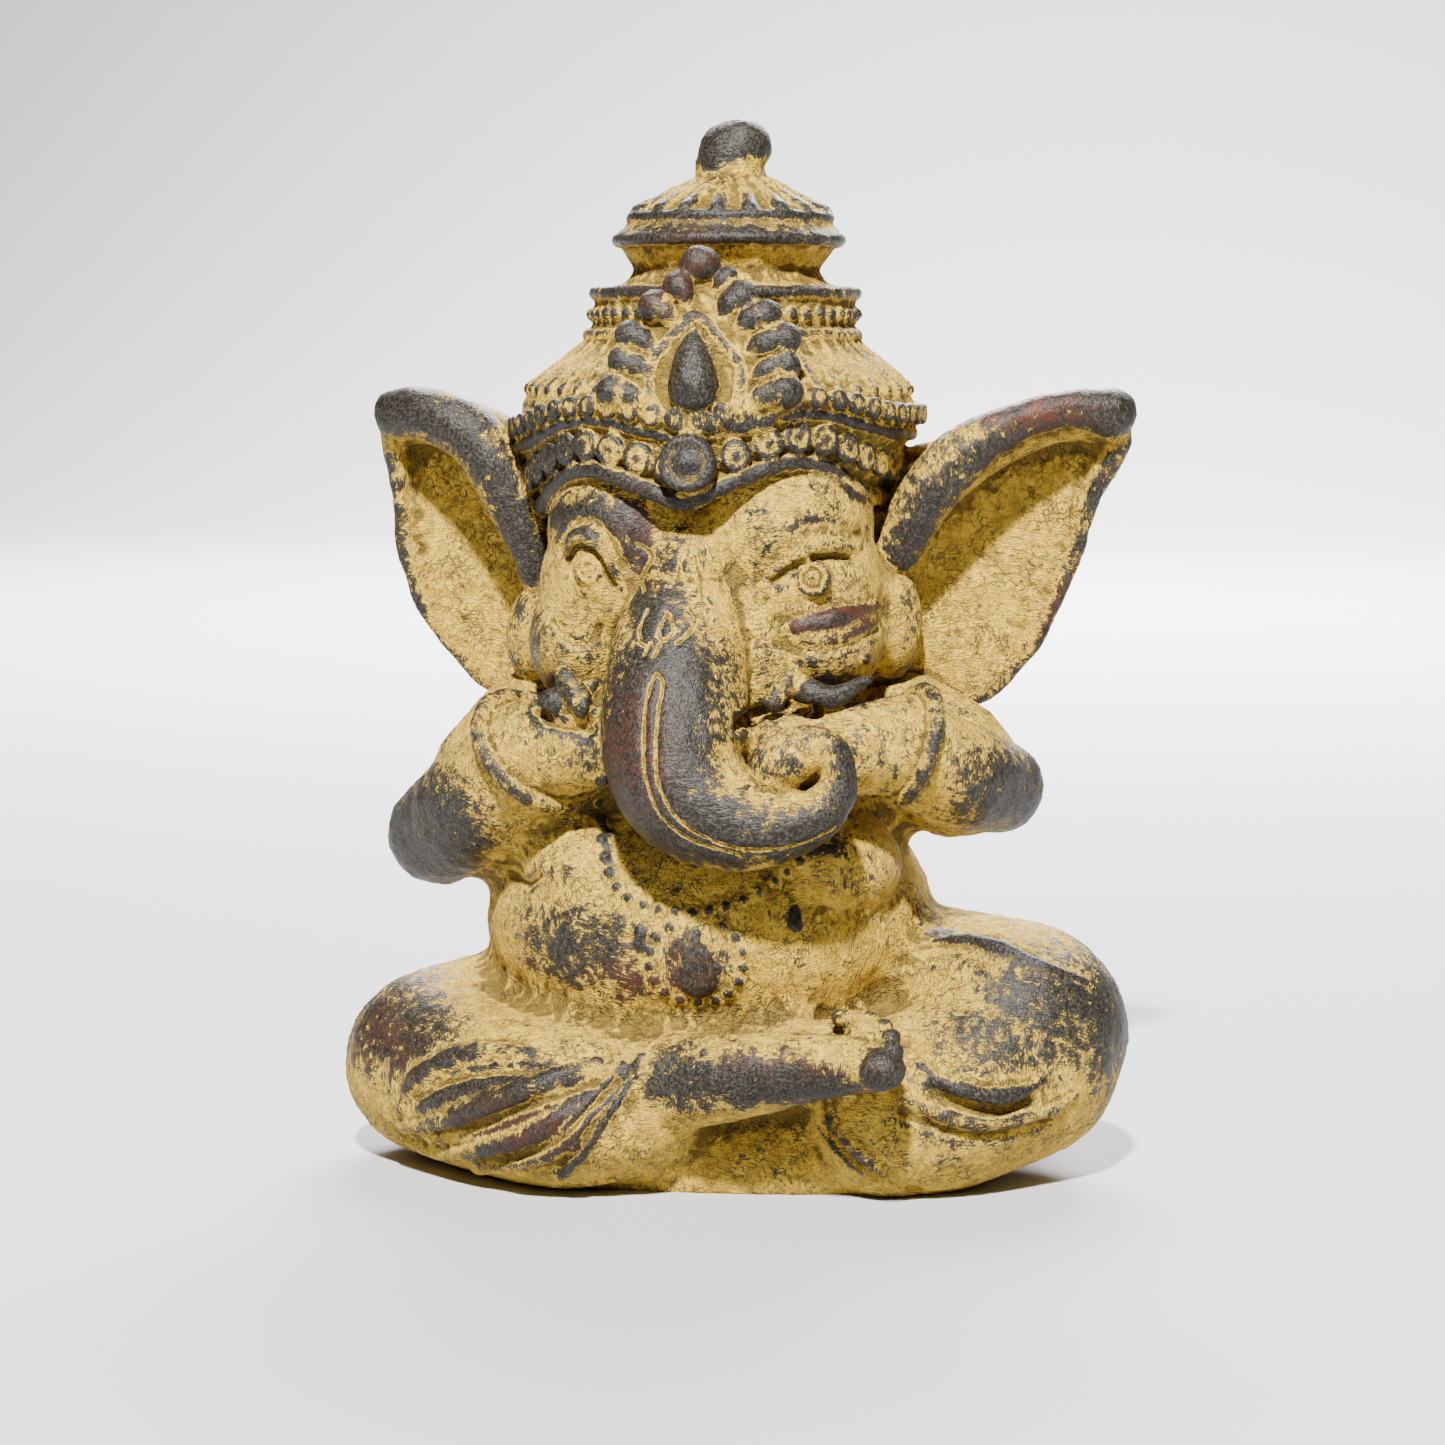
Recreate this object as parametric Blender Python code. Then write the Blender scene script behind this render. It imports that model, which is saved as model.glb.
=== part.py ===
"""A seated baby Ganesha statue, cast in one solid piece.

The figure faces -Y, stands on Z = 0 and is centred on the Z axis. It is built like clay: round lumps and
limbs are pressed into soft bodies, and the carving is laid on their surfaces. Every length of the form is
a count of shares, and a share is one three-hundredth of the statue's height.
"""
from math import cos, exp, pi, radians, sin

import bmesh
import bpy
import numpy as np
from mathutils import Euler, Matrix, Vector
from mathutils.bvhtree import BVHTree

# Driving dimensions, metres
HEIGHT = 0.300
SHARE = HEIGHT / 300

# How finely the clay is worked, in shares
BODY_VOXEL = 1.5
CROWN_VOXEL = 1.1
CAST_VOXEL = 1.0
TRIANGLES = 9400

# How the primitives are divided
RING_POINTS = 20
PATH_STEPS = 6

# Crown, in shares: its axis leans a little to +X as it rises
CROWN_BASE = Vector((-3.7, 0.0, 212.0))
CROWN_TOP = Vector((1.4, 4.0, 299.0))
RIM_LOW = 189.0
RIM_HIGH = 207.0
RIM_TILT = 2.2
RIM_RADIUS = 55.5
RIM_TAPER = 8.0
BEAD_RADIUS = 3.1
BEAD_COUNT = 56
ROSETTE_COUNT = 40
PETAL_COUNT = 18

# Ears, in shares: how far back the plates lie, their half thickness and how deep they are dished
EAR_BACK = 5.0
EAR_HALF = 3.0
EAR_DISH = 8.0

# Cast stone, as the rubbed ochre finish looks from a distance
STONE_COLOR = (0.42, 0.31, 0.13, 1.0)
STONE_ROUGHNESS = 0.75

FORWARD = Vector((0.0, -1.0, 0.0))


def through(rows):
    """Rows of numbers spaced along a smooth curve through the given rows."""
    rows = np.array(rows, float)
    ends = np.vstack([2 * rows[0] - rows[1], rows, 2 * rows[-1] - rows[-2]])
    curve = []
    for before, start, stop, after in zip(ends, ends[1:], ends[2:], ends[3:]):
        for step in range(PATH_STEPS):
            t = step / PATH_STEPS
            bend = 2 * before - 5 * start + 4 * stop - after
            twist = 3 * start - before - 3 * stop + after
            curve.append(start + 0.5 * (t * (stop - before) + t * t * bend + t ** 3 * twist))
    curve.append(rows[-1])
    return np.array(curve)


class Clay:
    """Closed shells that may overlap, gathered before they are pressed into one skin."""

    def __init__(self):
        self.points = []
        self.faces = []

    def add(self, points, faces):
        """Add one shell, with its points in shares."""
        first = len(self.points)
        self.points.extend(Vector(point) * SHARE for point in points)
        self.faces.extend([first + index for index in face] for face in faces)

    def add_mesh(self, mesh):
        """Add a shell that is already a mesh, in metres."""
        first = len(self.points)
        self.points.extend(vertex.co.copy() for vertex in mesh.vertices)
        self.faces.extend([first + index for index in face.vertices] for face in mesh.polygons)


def unit_ball():
    """The points and faces of a sphere of radius 1."""
    shape = bmesh.new()
    bmesh.ops.create_uvsphere(shape, u_segments=24, v_segments=16, radius=1.0)
    shape.verts.ensure_lookup_table()
    points = [vertex.co.copy() for vertex in shape.verts]
    faces = [[vertex.index for vertex in face.verts] for face in shape.faces]
    shape.free()
    return points, faces


BALL_POINTS, BALL_FACES = unit_ball()


def lump(clay, centre, axes):
    """A round lump whose half-lengths and directions are the three given vectors."""
    place = Matrix(axes).transposed().to_4x4()
    place.translation = Vector(centre)
    clay.add([place @ point for point in BALL_POINTS], BALL_FACES)


def ball(clay, centre, radii, turn=(0, 0, 0)):
    """An egg-shaped lump, turned about its own axes by degrees."""
    spin = Euler([radians(angle) for angle in turn]).to_matrix()
    lump(clay, centre, [spin.col[i] * radii[i] for i in range(3)])


def skin(clay, rings):
    """A closed skin over a row of rings with the same number of points."""
    count = len(rings[0])
    faces = []
    for row in range(len(rings) - 1):
        for i in range(count):
            lower = row * count + i
            beside = row * count + (i + 1) % count
            faces.append((lower, beside, beside + count, lower + count))
    faces.append(list(reversed(range(count))))
    faces.append(list(range((len(rings) - 1) * count, len(rings) * count)))
    clay.add([point for ring in rings for point in ring], faces)


def limb(clay, rows, face=FORWARD, thin=1.0, blunt=1.0):
    """A round-ended limb along a smooth path of x, y, z and radius; thin flattens it along face."""
    curve = through(rows)
    rings = []
    frames = []
    slopes = np.gradient(curve[:, :3], axis=0)
    for point, slope in zip(curve.tolist(), slopes.tolist()):
        centre = Vector(point[:3])
        radius = point[3]
        along = Vector(slope).normalized()
        side = along.cross(face).normalized()
        front = side.cross(along)
        frames.append((centre, side * radius, front * radius * thin, along * radius * blunt))
        turns = [2 * pi * i / RING_POINTS for i in range(RING_POINTS)]
        rings.append([centre + radius * (cos(a) * side + thin * sin(a) * front) for a in turns])
    skin(clay, rings)
    for centre, *axes in (frames[0], frames[-1]):
        lump(clay, centre, axes)


def hoop(clay, centre, axis, radius, thickness):
    """A round ring about an axis."""
    axis = Vector(axis).normalized()
    side = axis.orthogonal().normalized()
    front = axis.cross(side)
    steps = 12
    path = []
    for i in range(steps + 2):
        angle = 2 * pi * i / steps
        path.append((*(Vector(centre) + radius * (cos(angle) * side + sin(angle) * front)), thickness))
    limb(clay, path, face=axis)


def pressed(clay, voxel, fill=0.0, smooth=0):
    """One soft skin over the clay: creases are filled to a radius and the surface is rubbed smooth."""
    mesh = bpy.data.meshes.new("clay")
    mesh.from_pydata(clay.points, [], clay.faces)
    body = bpy.data.objects.new("clay", mesh)
    bpy.context.scene.collection.objects.link(body)
    fused(body, voxel)
    if fill:
        swollen(body, fill)
        fused(body, voxel)
        swollen(body, -fill)
        fused(body, voxel)
    if smooth:
        rub = body.modifiers.new("rub", "SMOOTH")
        rub.factor = 0.5
        rub.iterations = smooth
    result = evaluated(body)
    bpy.data.objects.remove(body)
    return result


def fused(body, voxel):
    """Make one skin of overlapping lumps."""
    fuse = body.modifiers.new("fuse", "REMESH")
    fuse.mode = "VOXEL"
    fuse.voxel_size = voxel * SHARE
    fuse.adaptivity = 0.0


def swollen(body, distance):
    """Move the whole skin out, or in for a negative distance."""
    swell = body.modifiers.new("swell", "DISPLACE")
    swell.strength = distance * SHARE
    swell.mid_level = 0.0


def evaluated(body):
    """A copy of the object's mesh with its modifiers applied."""
    graph = bpy.context.evaluated_depsgraph_get()
    return bpy.data.meshes.new_from_object(body.evaluated_get(graph))


def surface(mesh):
    """A search tree over a mesh, for laying carving on it."""
    shape = bmesh.new()
    shape.from_mesh(mesh)
    tree = BVHTree.FromBMesh(shape)
    shape.free()
    return tree


def front_of(tree, x, z):
    """The Y of the foremost point of a surface at a place seen from the front, in shares."""
    start = Vector((x, -300.0, z)) * SHARE
    point = tree.ray_cast(start, Vector((0.0, 1.0, 0.0)))[0]
    return 0.0 if point is None else point.y / SHARE


def ridge(clay, tree, rows, sink=0.35, thin=1.0):
    """A ridge laid along a surface; each row is x, z and a radius."""
    laid = [(x, front_of(tree, x, z) + sink * radius, z, radius) for x, z, radius in rows]
    limb(clay, laid, thin=thin)


def bead(clay, tree, x, z, radius, sink=0.3):
    """A bead laid on a surface."""
    ball(clay, (x, front_of(tree, x, z) + sink * radius, z), (radius, radius, radius))


def torso(clay):
    """Belly, chest, breasts, shoulders and hips."""
    ball(clay, (-5, -4, 68), (66, 66, 44))
    ball(clay, (-4, 2, 100), (58, 50, 34))
    ball(clay, (0, 6, 124), (52, 42, 30))
    ball(clay, (-30, -34, 86), (25, 25, 18))
    ball(clay, (29, -33, 88), (25, 25, 18))
    ball(clay, (3, 10, 22), (88, 46, 34))


def legs(clay):
    """Crossed legs under draped cloth."""
    limb(clay, [(-38, 14, 30, 30), (-64, -8, 29, 28), (-82, -28, 27, 27)])
    limb(clay, [(-80, -32, 26, 26), (-58, -52, 24, 24), (-36, -64, 23, 23), (-18, -64, 24, 20)])
    limb(clay, [(38, 12, 40, 30), (62, -6, 41, 31), (86, -26, 40, 32)])
    limb(clay, [(86, -30, 34, 30), (68, -46, 26, 27), (53, -52, 22, 25)])
    limb(clay, [(-20, -52, 4, 14), (4, -52, 5, 15), (26, -50, 7, 16), (44, -46, 10, 18)])


def foot(clay):
    """The ankle and the foot that lies across the lap, with its toes."""
    limb(clay, [(-12, -70, 31, 13), (4, -75, 34, 12.5), (17, -79, 37, 11.5), (32, -82, 40, 9.8)])
    limb(clay, [(32, -82, 40, 9.8), (44, -87, 41.5, 7.8), (53, -91, 42.5, 6.2)])
    limb(clay, [(-6, -58, 32, 12), (20, -62, 37, 11), (44, -68, 41, 10)])
    ball(clay, (49, -81, 44.5), (7, 8, 7))


def arms(clay):
    """Folded arms, and hands that reach behind the trunk."""
    limb(clay, [(-56, -2, 118, 22), (-70, -8, 101, 22.5), (-83.5, -15, 92.5, 15.5)])
    limb(clay, [(-83, -18, 93, 15.5), (-66, -34, 105, 18), (-50, -48, 120, 16)])
    limb(clay, [(-50, -48, 120, 15), (-36, -53, 124, 14), (-18, -56, 126, 12)])
    limb(clay, [(52, 0, 120, 20), (68, -8, 112, 19.5), (79.5, -15, 109, 13.4)])
    limb(clay, [(79, -18, 109, 13), (68, -34, 115, 15.5), (55, -46, 124, 14.5)])
    limb(clay, [(56, -46, 124, 14), (44, -54, 124, 13), (24, -58, 123, 12)])


def head(clay):
    """Skull, forehead lobes, nose bridge, cheeks, jaw and the lobes where the ears grow."""
    ball(clay, (-2, 0, 166), (46, 46, 46))
    ball(clay, (-24, -20, 182), (25.5, 34, 27))
    ball(clay, (17.5, -18, 184), (26.5, 36, 28))
    ball(clay, (-5, -30, 172), (18, 27, 22))
    ball(clay, (-27, -21, 167), (25, 31, 22))
    ball(clay, (22, -20, 167), (25.5, 32, 22))
    ball(clay, (-37, -26, 151), (17, 24, 20))
    ball(clay, (30, -27, 152), (17.5, 25, 19))
    ball(clay, (2, -26, 138), (36, 28, 20))
    ball(clay, (-56, -7, 150), (9, 12, 15))
    ball(clay, (49, -7, 155), (8, 12, 16))
    ball(clay, (0, 6, 138), (46, 36, 28))


def ear(clay, side, outline):
    """An ear: a plate inside a smooth outline of x and z, dished towards the back."""
    closed = through(outline + outline[:1])[:-1]
    rings = []
    for y in (EAR_BACK - EAR_HALF, EAR_BACK + EAR_HALF):
        rings.append([(side * x, y, z) for x, z in closed])
    plate = Clay()
    skin(plate, rings)
    mesh = pressed(plate, BODY_VOXEL, smooth=4)
    for vertex in mesh.vertices:
        reach = (side * vertex.co.x / SHARE - 48) / 62
        vertex.co.y += EAR_DISH * sin(pi * min(max(reach, 0), 1)) * SHARE
    clay.add_mesh(mesh)


def ears(clay):
    """Both ears with their folded upper rims and thin outer edges."""
    left = [(40, 206), (62, 211), (84, 218), (100, 220), (104, 210), (101, 195), (101, 176), (97.5, 160),
            (90, 147), (76, 132), (62, 134), (42, 148), (36, 178)]
    ear(clay, -1, left)
    right = [(32, 202), (58, 207), (80, 216), (98, 220), (114, 220), (115, 209), (106, 190), (101, 173),
             (97, 161), (88, 144), (72, 129), (58, 136), (38, 150), (30, 178)]
    ear(clay, 1, right)
    limb(clay, [(-98.5, -1, 214.5, 7.4), (-88, -6, 214.5, 8.2), (-74, -9, 208, 8.8), (-64.5, -10, 193, 8),
                (-57.5, -10, 176, 6), (-53, -8, 160, 4.5)])
    limb(clay, [(-98, 3, 213, 7), (-84, 2, 212, 8), (-68, 1, 205, 9), (-56, 0, 190, 9)])
    limb(clay, [(110, -2, 215.5, 7.6), (98, -7, 216.5, 5.6), (84, -9, 213, 5.8), (70, -10, 205, 7.8),
                (59, -10, 193, 8.6), (50, -9, 176, 6.5)])
    limb(clay, [(109, 3, 214, 7), (92, 2, 213, 7), (72, 1, 204, 8), (56, 0, 192, 9)])
    limb(clay, [(-101, 2, 208, 3.8), (-99.5, 4, 190, 3.2), (-99, 4, 172, 3), (-92.5, 4, 153, 3)])
    limb(clay, [(113, 2, 207, 3.8), (104.5, 4, 190, 3.2), (99.5, 4, 172, 3), (91, 4, 150, 3)])


def trunk(clay):
    """The trunk, curling up to the viewer's right and round to its blunt tip."""
    limb(clay, [(-4.2, -34, 170, 15), (-6.2, -48, 154, 18.6), (-6.8, -58, 140, 20.2), (-6, -65, 127, 20.4),
                (-2.5, -71, 115.6, 19), (6, -75, 108.6, 16), (17.5, -78, 105.4, 12.6),
                (27.6, -79, 106.4, 9.6), (35, -79, 109, 7.4), (39.8, -79, 114, 5.8)],
         face=Vector((-1.0, 0.0, 0.0)))
    limb(clay, [(39.8, -79, 114, 5.8), (40.8, -78.5, 119.7, 4.9), (38.8, -78, 125, 5.4),
                (33.6, -78, 127, 6.2), (28, -78, 124.6, 7.6), (23.8, -77, 121.8, 7.8)])
    ball(clay, (29, -68, 117), (9, 8, 8))


def crown_axis(z):
    """The point of the crown's leaning axis at a height."""
    share = (z - CROWN_BASE.z) / (CROWN_TOP.z - CROWN_BASE.z)
    return CROWN_BASE.lerp(CROWN_TOP, share)


def rim_height(angle, base, rise):
    """Height of a rim that arches over both brows; the angle runs from the front, positive to +X."""
    side = abs((angle + pi) % (2 * pi) - pi)
    arch = exp(-((side - radians(32)) / radians(26)) ** 2)
    return base + rise * arch + RIM_TILT * sin(angle)


def rim_radius(angle, lift):
    """How far the band stands from the axis: at the sides it narrows towards its lower edge, lift 0."""
    return RIM_RADIUS - RIM_TAPER * sin(angle) ** 2 * (1 - lift)


def on_crown(angle, radius, z):
    """A point beside the crown's axis."""
    axis = crown_axis(z)
    return Vector((axis.x + radius * sin(angle), axis.y - radius * cos(angle), z))


def crown(clay):
    """The turned tiers of the crown, with its arched lower edge."""
    turns = [2 * pi * i / 72 for i in range(72)]
    rings = [[on_crown(a, rim_radius(a, 0) - 9, rim_height(a, RIM_LOW, 12.5) - 1) for a in turns]]
    rings.append([on_crown(a, rim_radius(a, 0), rim_height(a, RIM_LOW, 12.5)) for a in turns])
    rings.append([on_crown(a, RIM_RADIUS + 1, rim_height(a, RIM_HIGH, 8)) for a in turns])
    profile = [(57, 217.5), (54.5, 222.5), (48.5, 229), (42, 233.5), (38, 236.8), (37.6, 249.5),
               (29, 252.5), (26.6, 256), (31.4, 263), (32.2, 266.8), (27, 271.6), (18, 278), (10, 282)]
    for radius, z in profile:
        rings.append([on_crown(a, radius, z) for a in turns])
    skin(clay, rings)
    limb(clay, [(0.6, 4, 277, 10.6), (-0.6, 4, 284, 10.2), (-0.2, 4, 289, 9.8)], face=Vector((1.0, 0.0, 0.0)))
    ball(clay, (1.4, 4, 290.8), (10.6, 9.6, 8.8), (0, -20, 0))


def crown_carving(clay):
    """Rim ridges, rows of beads and rosettes, and radial petals."""
    whole = [2 * pi * i / 48 for i in range(50)]
    for base, rise, lift, thick in ((RIM_LOW, 12.5, 0.0, 2.6), (RIM_HIGH, 8.0, 1.0, 1.9)):
        path = []
        for angle in whole:
            z = rim_height(angle, base, rise)
            path.append((*on_crown(angle, rim_radius(angle, lift) + 1, z), thick))
        limb(clay, path, face=Vector((0.0, 0.0, 1.0)))
    for z, radius, thick in ((249.4, 37.6, 1.9), (237.4, 38.8, 1.9), (271, 28.4, 1.7), (264.6, 32, 1.9)):
        path = [(*on_crown(angle, radius, z), thick) for angle in whole]
        limb(clay, path, face=Vector((0.0, 0.0, 1.0)))
    for i in range(PETAL_COUNT):
        angle = 2 * pi * i / PETAL_COUNT
        limb(clay, [(*on_crown(angle, 11, 281.6), 1.2), (*on_crown(angle, 26.5, 272.4), 2.8)])
    for i in range(BEAD_COUNT):
        angle = 2 * pi * (i + 0.5) / BEAD_COUNT
        z = rim_height(angle, RIM_HIGH + 5.6, 6.5)
        ball(clay, on_crown(angle, RIM_RADIUS + 2.2, z), (BEAD_RADIUS, BEAD_RADIUS, BEAD_RADIUS))
    for i in range(ROSETTE_COUNT):
        angle = 2 * pi * (i + 0.5) / ROSETTE_COUNT
        z = (rim_height(angle, RIM_LOW, 12.5) + rim_height(angle, RIM_HIGH, 8.0)) / 2
        ball(clay, on_crown(angle, rim_radius(angle, 0.5) + 0.6, z), (3.3, 3.3, 3.9))


def plaque(clay):
    """The leaf-shaped plaque on the crown's front, with its jewel, lobes and medallion."""
    limb(clay, [(-0.8, -54, 214, 21), (-0.8, -51, 226, 23), (-0.8, -48, 237, 20.5),
                (-1.2, -45, 246, 14.5), (-1.8, -42, 254, 7)], thin=0.22, blunt=0.25)
    lobes = [(-24.6, -54, 222, 5.2), (-22.4, -52, 230, 4.6), (-20.6, -50.5, 237, 4.6),
             (-14, -49, 245, 4.8), (-7.6, -47, 250.8, 4.6), (23, -54, 222, 5),
             (22.8, -52, 229.2, 4.2), (22.4, -50.5, 236.6, 4.6), (17, -49, 242.8, 4.6),
             (9.6, -47, 247.6, 5), (5.6, -44, 253.6, 2.8)]
    for x, y, z, radius in lobes:
        ball(clay, (x, y, z), (radius, radius, radius))
        limb(clay, [(x, y, z, radius * 0.9), (x * 0.6 - 1.4, y - 0.6, z - 4, radius * 0.5)])
    ball(clay, (-2.2, -44, 257), (5.8, 5.2, 5.2))
    limb(clay, [(-3, -51, 238, 2), (-2.6, -54, 231.4, 5.4), (-2, -56.5, 223, 7.4)])
    border = [(-2.6, -50, 242.4), (-9.6, -51.5, 236), (-14.6, -54, 227), (-12.2, -56.5, 217.4),
              (-2.2, -57.5, 211.6), (8.4, -56.5, 217), (11, -54, 227), (5, -51.5, 236)]
    limb(clay, [(*point, 1.6) for point in border + border[:2]], face=Vector((0.0, 0.0, 1.0)))
    ball(clay, (-3, -60.5, 202.6), (8.2, 4.6, 8.2))


def tusks(clay):
    """The short rubbed tusks and the folds of lip they grow from."""
    limb(clay, [(-30, -52, 139, 4), (-35, -57, 137.6, 3.8), (-40, -58.5, 137.2, 3.4)])
    limb(clay, [(-38.5, -54, 145.8, 2), (-35, -58, 139.5, 2.6), (-30.4, -60, 134.4, 3)])
    limb(clay, [(26, -58, 142, 3.6), (31, -60, 139.6, 3.6), (37, -60, 139.2, 2.9), (45.5, -56, 143, 1.3)])
    limb(clay, [(27, -56, 146.7, 1.6), (24, -58, 142.6, 2.2), (21.5, -60, 138.4, 2.2)])


def face_carving(clay, tree):
    """Eyelids, eyeballs and the ridge of the cheek."""
    ridge(clay, tree, [(-39.4, 176, 1), (-36.5, 180.9, 1.6), (-32.6, 181.2, 2.1), (-29, 178, 2),
                       (-26.2, 172.6, 1.7), (-23.8, 168, 1)])
    ridge(clay, tree, [(-36.4, 170.4, 0.8), (-32, 167.4, 1.2), (-27.8, 169.4, 0.8)])
    bead(clay, tree, -31.8, 172, 4, sink=0.66)
    ridge(clay, tree, [(17.5, 169, 0.8), (21.4, 172.6, 1.3), (25.7, 175.6, 1.6), (29.5, 177.2, 1.8),
                       (34, 178.4, 1.7), (39.4, 177.6, 0.9)])
    bead(clay, tree, 30.2, 171.2, 4.8, sink=0.66)
    ridge(clay, tree, [(22.7, 156.3, 2), (29, 157.5, 3), (37, 159.5, 3), (45, 162, 2)], sink=0.5)


def cuffs(clay):
    """The flared rings round both forearms."""
    hoop(clay, (-49, -46.5, 121), (0.62, -0.42, 0.6), 18.6, 2.5)
    hoop(clay, (56.5, -44.5, 124), (-0.8, -0.42, 0.3), 16, 2.4)


def jewellery(clay, tree):
    """Necklace, pendant and its beads, nipples and navel rim."""
    strand = through([(-33, 110), (-29.5, 98), (-25, 87), (-17.5, 81.4), (-7, 79.4), (2.5, 79.4),
                      (12, 82), (22, 87.6), (30, 95)])
    travelled = np.concatenate([[0], np.cumsum(np.hypot(*np.diff(strand, axis=0).T))])
    for distance in np.arange(0.0, travelled[-1], 4.6):
        x = float(np.interp(distance, travelled, strand[:, 0]))
        z = float(np.interp(distance, travelled, strand[:, 1]))
        bead(clay, tree, x, z, 1.9)
    ridge(clay, tree, [(0.2, 73, 1.6), (0.2, 68.5, 5), (0.2, 63.4, 7.6), (0.2, 62, 7)], thin=0.6)
    for i in range(15):
        angle = radians(35 + 290 * i / 14) + pi / 2
        bead(clay, tree, 0.2 + 13 * cos(angle), 65.8 + 11.6 * sin(angle), 1.8)
    for x, z in ((-15.2, 71.9), (26.2, 76.8)):
        ridge(clay, tree, [(x, z - 2, 2.2), (x, z + 2, 2.2)], sink=0.55)


def drapery(clay, tree):
    """Folds of the cloth over both legs."""
    folds = [
        [(-85.7, 19.7, 1.5), (-80.4, 28.8, 3), (-69.4, 35.7, 3.6), (-54.7, 39.7, 3.2), (-43.8, 40.1, 1.8)],
        [(-86.8, 13.5, 1.8), (-71.9, 18.4, 3.2), (-56.1, 25.9, 4), (-40.2, 33, 3.6), (-25.4, 38.7, 2)],
        [(-87.8, 9.9, 1.6), (-75.3, 8.1, 2.6), (-62.1, 12.2, 2.8), (-46.7, 18.1, 3), (-35.1, 24.5, 3),
         (-20, 38, 1.6)],
        [(-62.2, 4.8, 2), (-46.6, 10.8, 3), (-34.6, 18.3, 3.6), (-27.6, 26.3, 3.4), (-18, 38, 2)],
        [(-38.2, 5, 2), (-30.1, 15, 3), (-22.9, 25.8, 3), (-17.2, 33.8, 2.4), (-13.2, 40.4, 1.6)],
        [(62.4, 38.5, 1.4), (67.8, 34.8, 2.2), (75, 31.8, 2.8), (82.9, 30.1, 3.2), (89.9, 31, 2.6),
         (95, 33.4, 1.4)],
        [(59.1, 30.3, 1.6), (70, 25.4, 2.8), (81.9, 23.4, 3), (95, 24.6, 2.6), (103.9, 28.1, 1.6)],
        [(38.2, 24, 2), (44.4, 17.3, 2.6), (49.9, 12, 2.6), (55.7, 6, 2.2)],
        [(63.8, 66, 1.4), (73.4, 67.5, 2.4), (83.1, 66.5, 2.4), (94.3, 62.6, 2), (106, 58, 1.4)],
    ]
    for rows in folds:
        ridge(clay, tree, rows, sink=0.45)


def toes(clay):
    """The big toe and the four small ones stacked behind it."""
    ball(clay, (54, -93.5, 42.4), (7, 5.8, 5.6))
    for x, y, z, radius in ((57, -91.5, 47, 3), (56, -88, 49.8, 2.9), (53.6, -84.5, 52, 2.7),
                            (50, -81, 53.4, 2.5)):
        limb(clay, [(x - 9, y + 5, z - 0.8, radius), (x, y, z, radius)], face=Vector((0.0, 0.0, 1.0)))


def largest(shape):
    """Delete every loose shell but the largest, such as the wall of a sealed hollow."""
    shells = []
    waiting = set(shape.verts)
    while waiting:
        shell = set()
        edge = {waiting.pop()}
        while edge:
            vertex = edge.pop()
            shell.add(vertex)
            for link in vertex.link_edges:
                other = link.other_vert(vertex)
                if other in waiting:
                    waiting.discard(other)
                    edge.add(other)
        shells.append(shell)
    shells.sort(key=len)
    spare = [vertex for shell in shells[:-1] for vertex in shell]
    bmesh.ops.delete(shape, geom=spare, context="VERTS")


def stood_flat(shape):
    """Cut the underside flat at Z = 0 and close it."""
    parts = shape.verts[:] + shape.edges[:] + shape.faces[:]
    bmesh.ops.bisect_plane(shape, geom=parts, plane_co=(0, 0, 0), plane_no=(0, 0, 1), clear_inner=True)
    rim = [edge for edge in shape.edges if edge.is_boundary]
    bmesh.ops.triangle_fill(shape, use_beauty=True, use_dissolve=False, edges=rim, normal=(0, 0, -1))
    bmesh.ops.recalc_face_normals(shape, faces=shape.faces[:])
    bmesh.ops.triangulate(shape, faces=shape.faces[:])


def stone():
    """The cast stone material."""
    material = bpy.data.materials.new("cast_stone")
    material.use_nodes = True
    shader = material.node_tree.nodes["Principled BSDF"]
    shader.inputs["Base Color"].default_value = STONE_COLOR
    shader.inputs["Roughness"].default_value = STONE_ROUGHNESS
    shader.inputs["Metallic"].default_value = 0.0
    return material


def figure():
    """The soft body, the head, the ears and the trunk, as separate meshes."""
    body = Clay()
    for part in (torso, legs, foot, arms):
        part(body)
    body = pressed(body, BODY_VOXEL, fill=3.5, smooth=5)
    face = Clay()
    head(face)
    face = pressed(face, BODY_VOXEL, fill=4.0, smooth=5)
    fans = Clay()
    ears(fans)
    fans = pressed(fans, BODY_VOXEL, fill=1.0, smooth=3)
    nose = Clay()
    trunk(nose)
    nose = pressed(nose, CROWN_VOXEL, smooth=6)
    return body, face, fans, nose


def statue():
    """The whole casting as one mesh with a flat underside."""
    body, face, fans, nose = figure()
    turned = Clay()
    crown(turned)
    turned = pressed(turned, CROWN_VOXEL, smooth=3)
    carving = Clay()
    for mesh in (body, face, fans, nose, turned):
        carving.add_mesh(mesh)
    crown_carving(carving)
    plaque(carving)
    tusks(carving)
    cuffs(carving)
    toes(carving)
    face_carving(carving, surface(face))
    chest = surface(body)
    jewellery(carving, chest)
    drapery(carving, chest)
    cast = pressed(carving, CAST_VOXEL, smooth=2)
    block = bpy.data.objects.new("block", cast)
    bpy.context.scene.collection.objects.link(block)
    thin = block.modifiers.new("thin", "DECIMATE")
    thin.ratio = TRIANGLES / (2 * len(cast.polygons))
    shape = bmesh.new()
    shape.from_mesh(evaluated(block))
    bpy.data.objects.remove(block)
    largest(shape)
    stood_flat(shape)
    return shape


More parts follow.
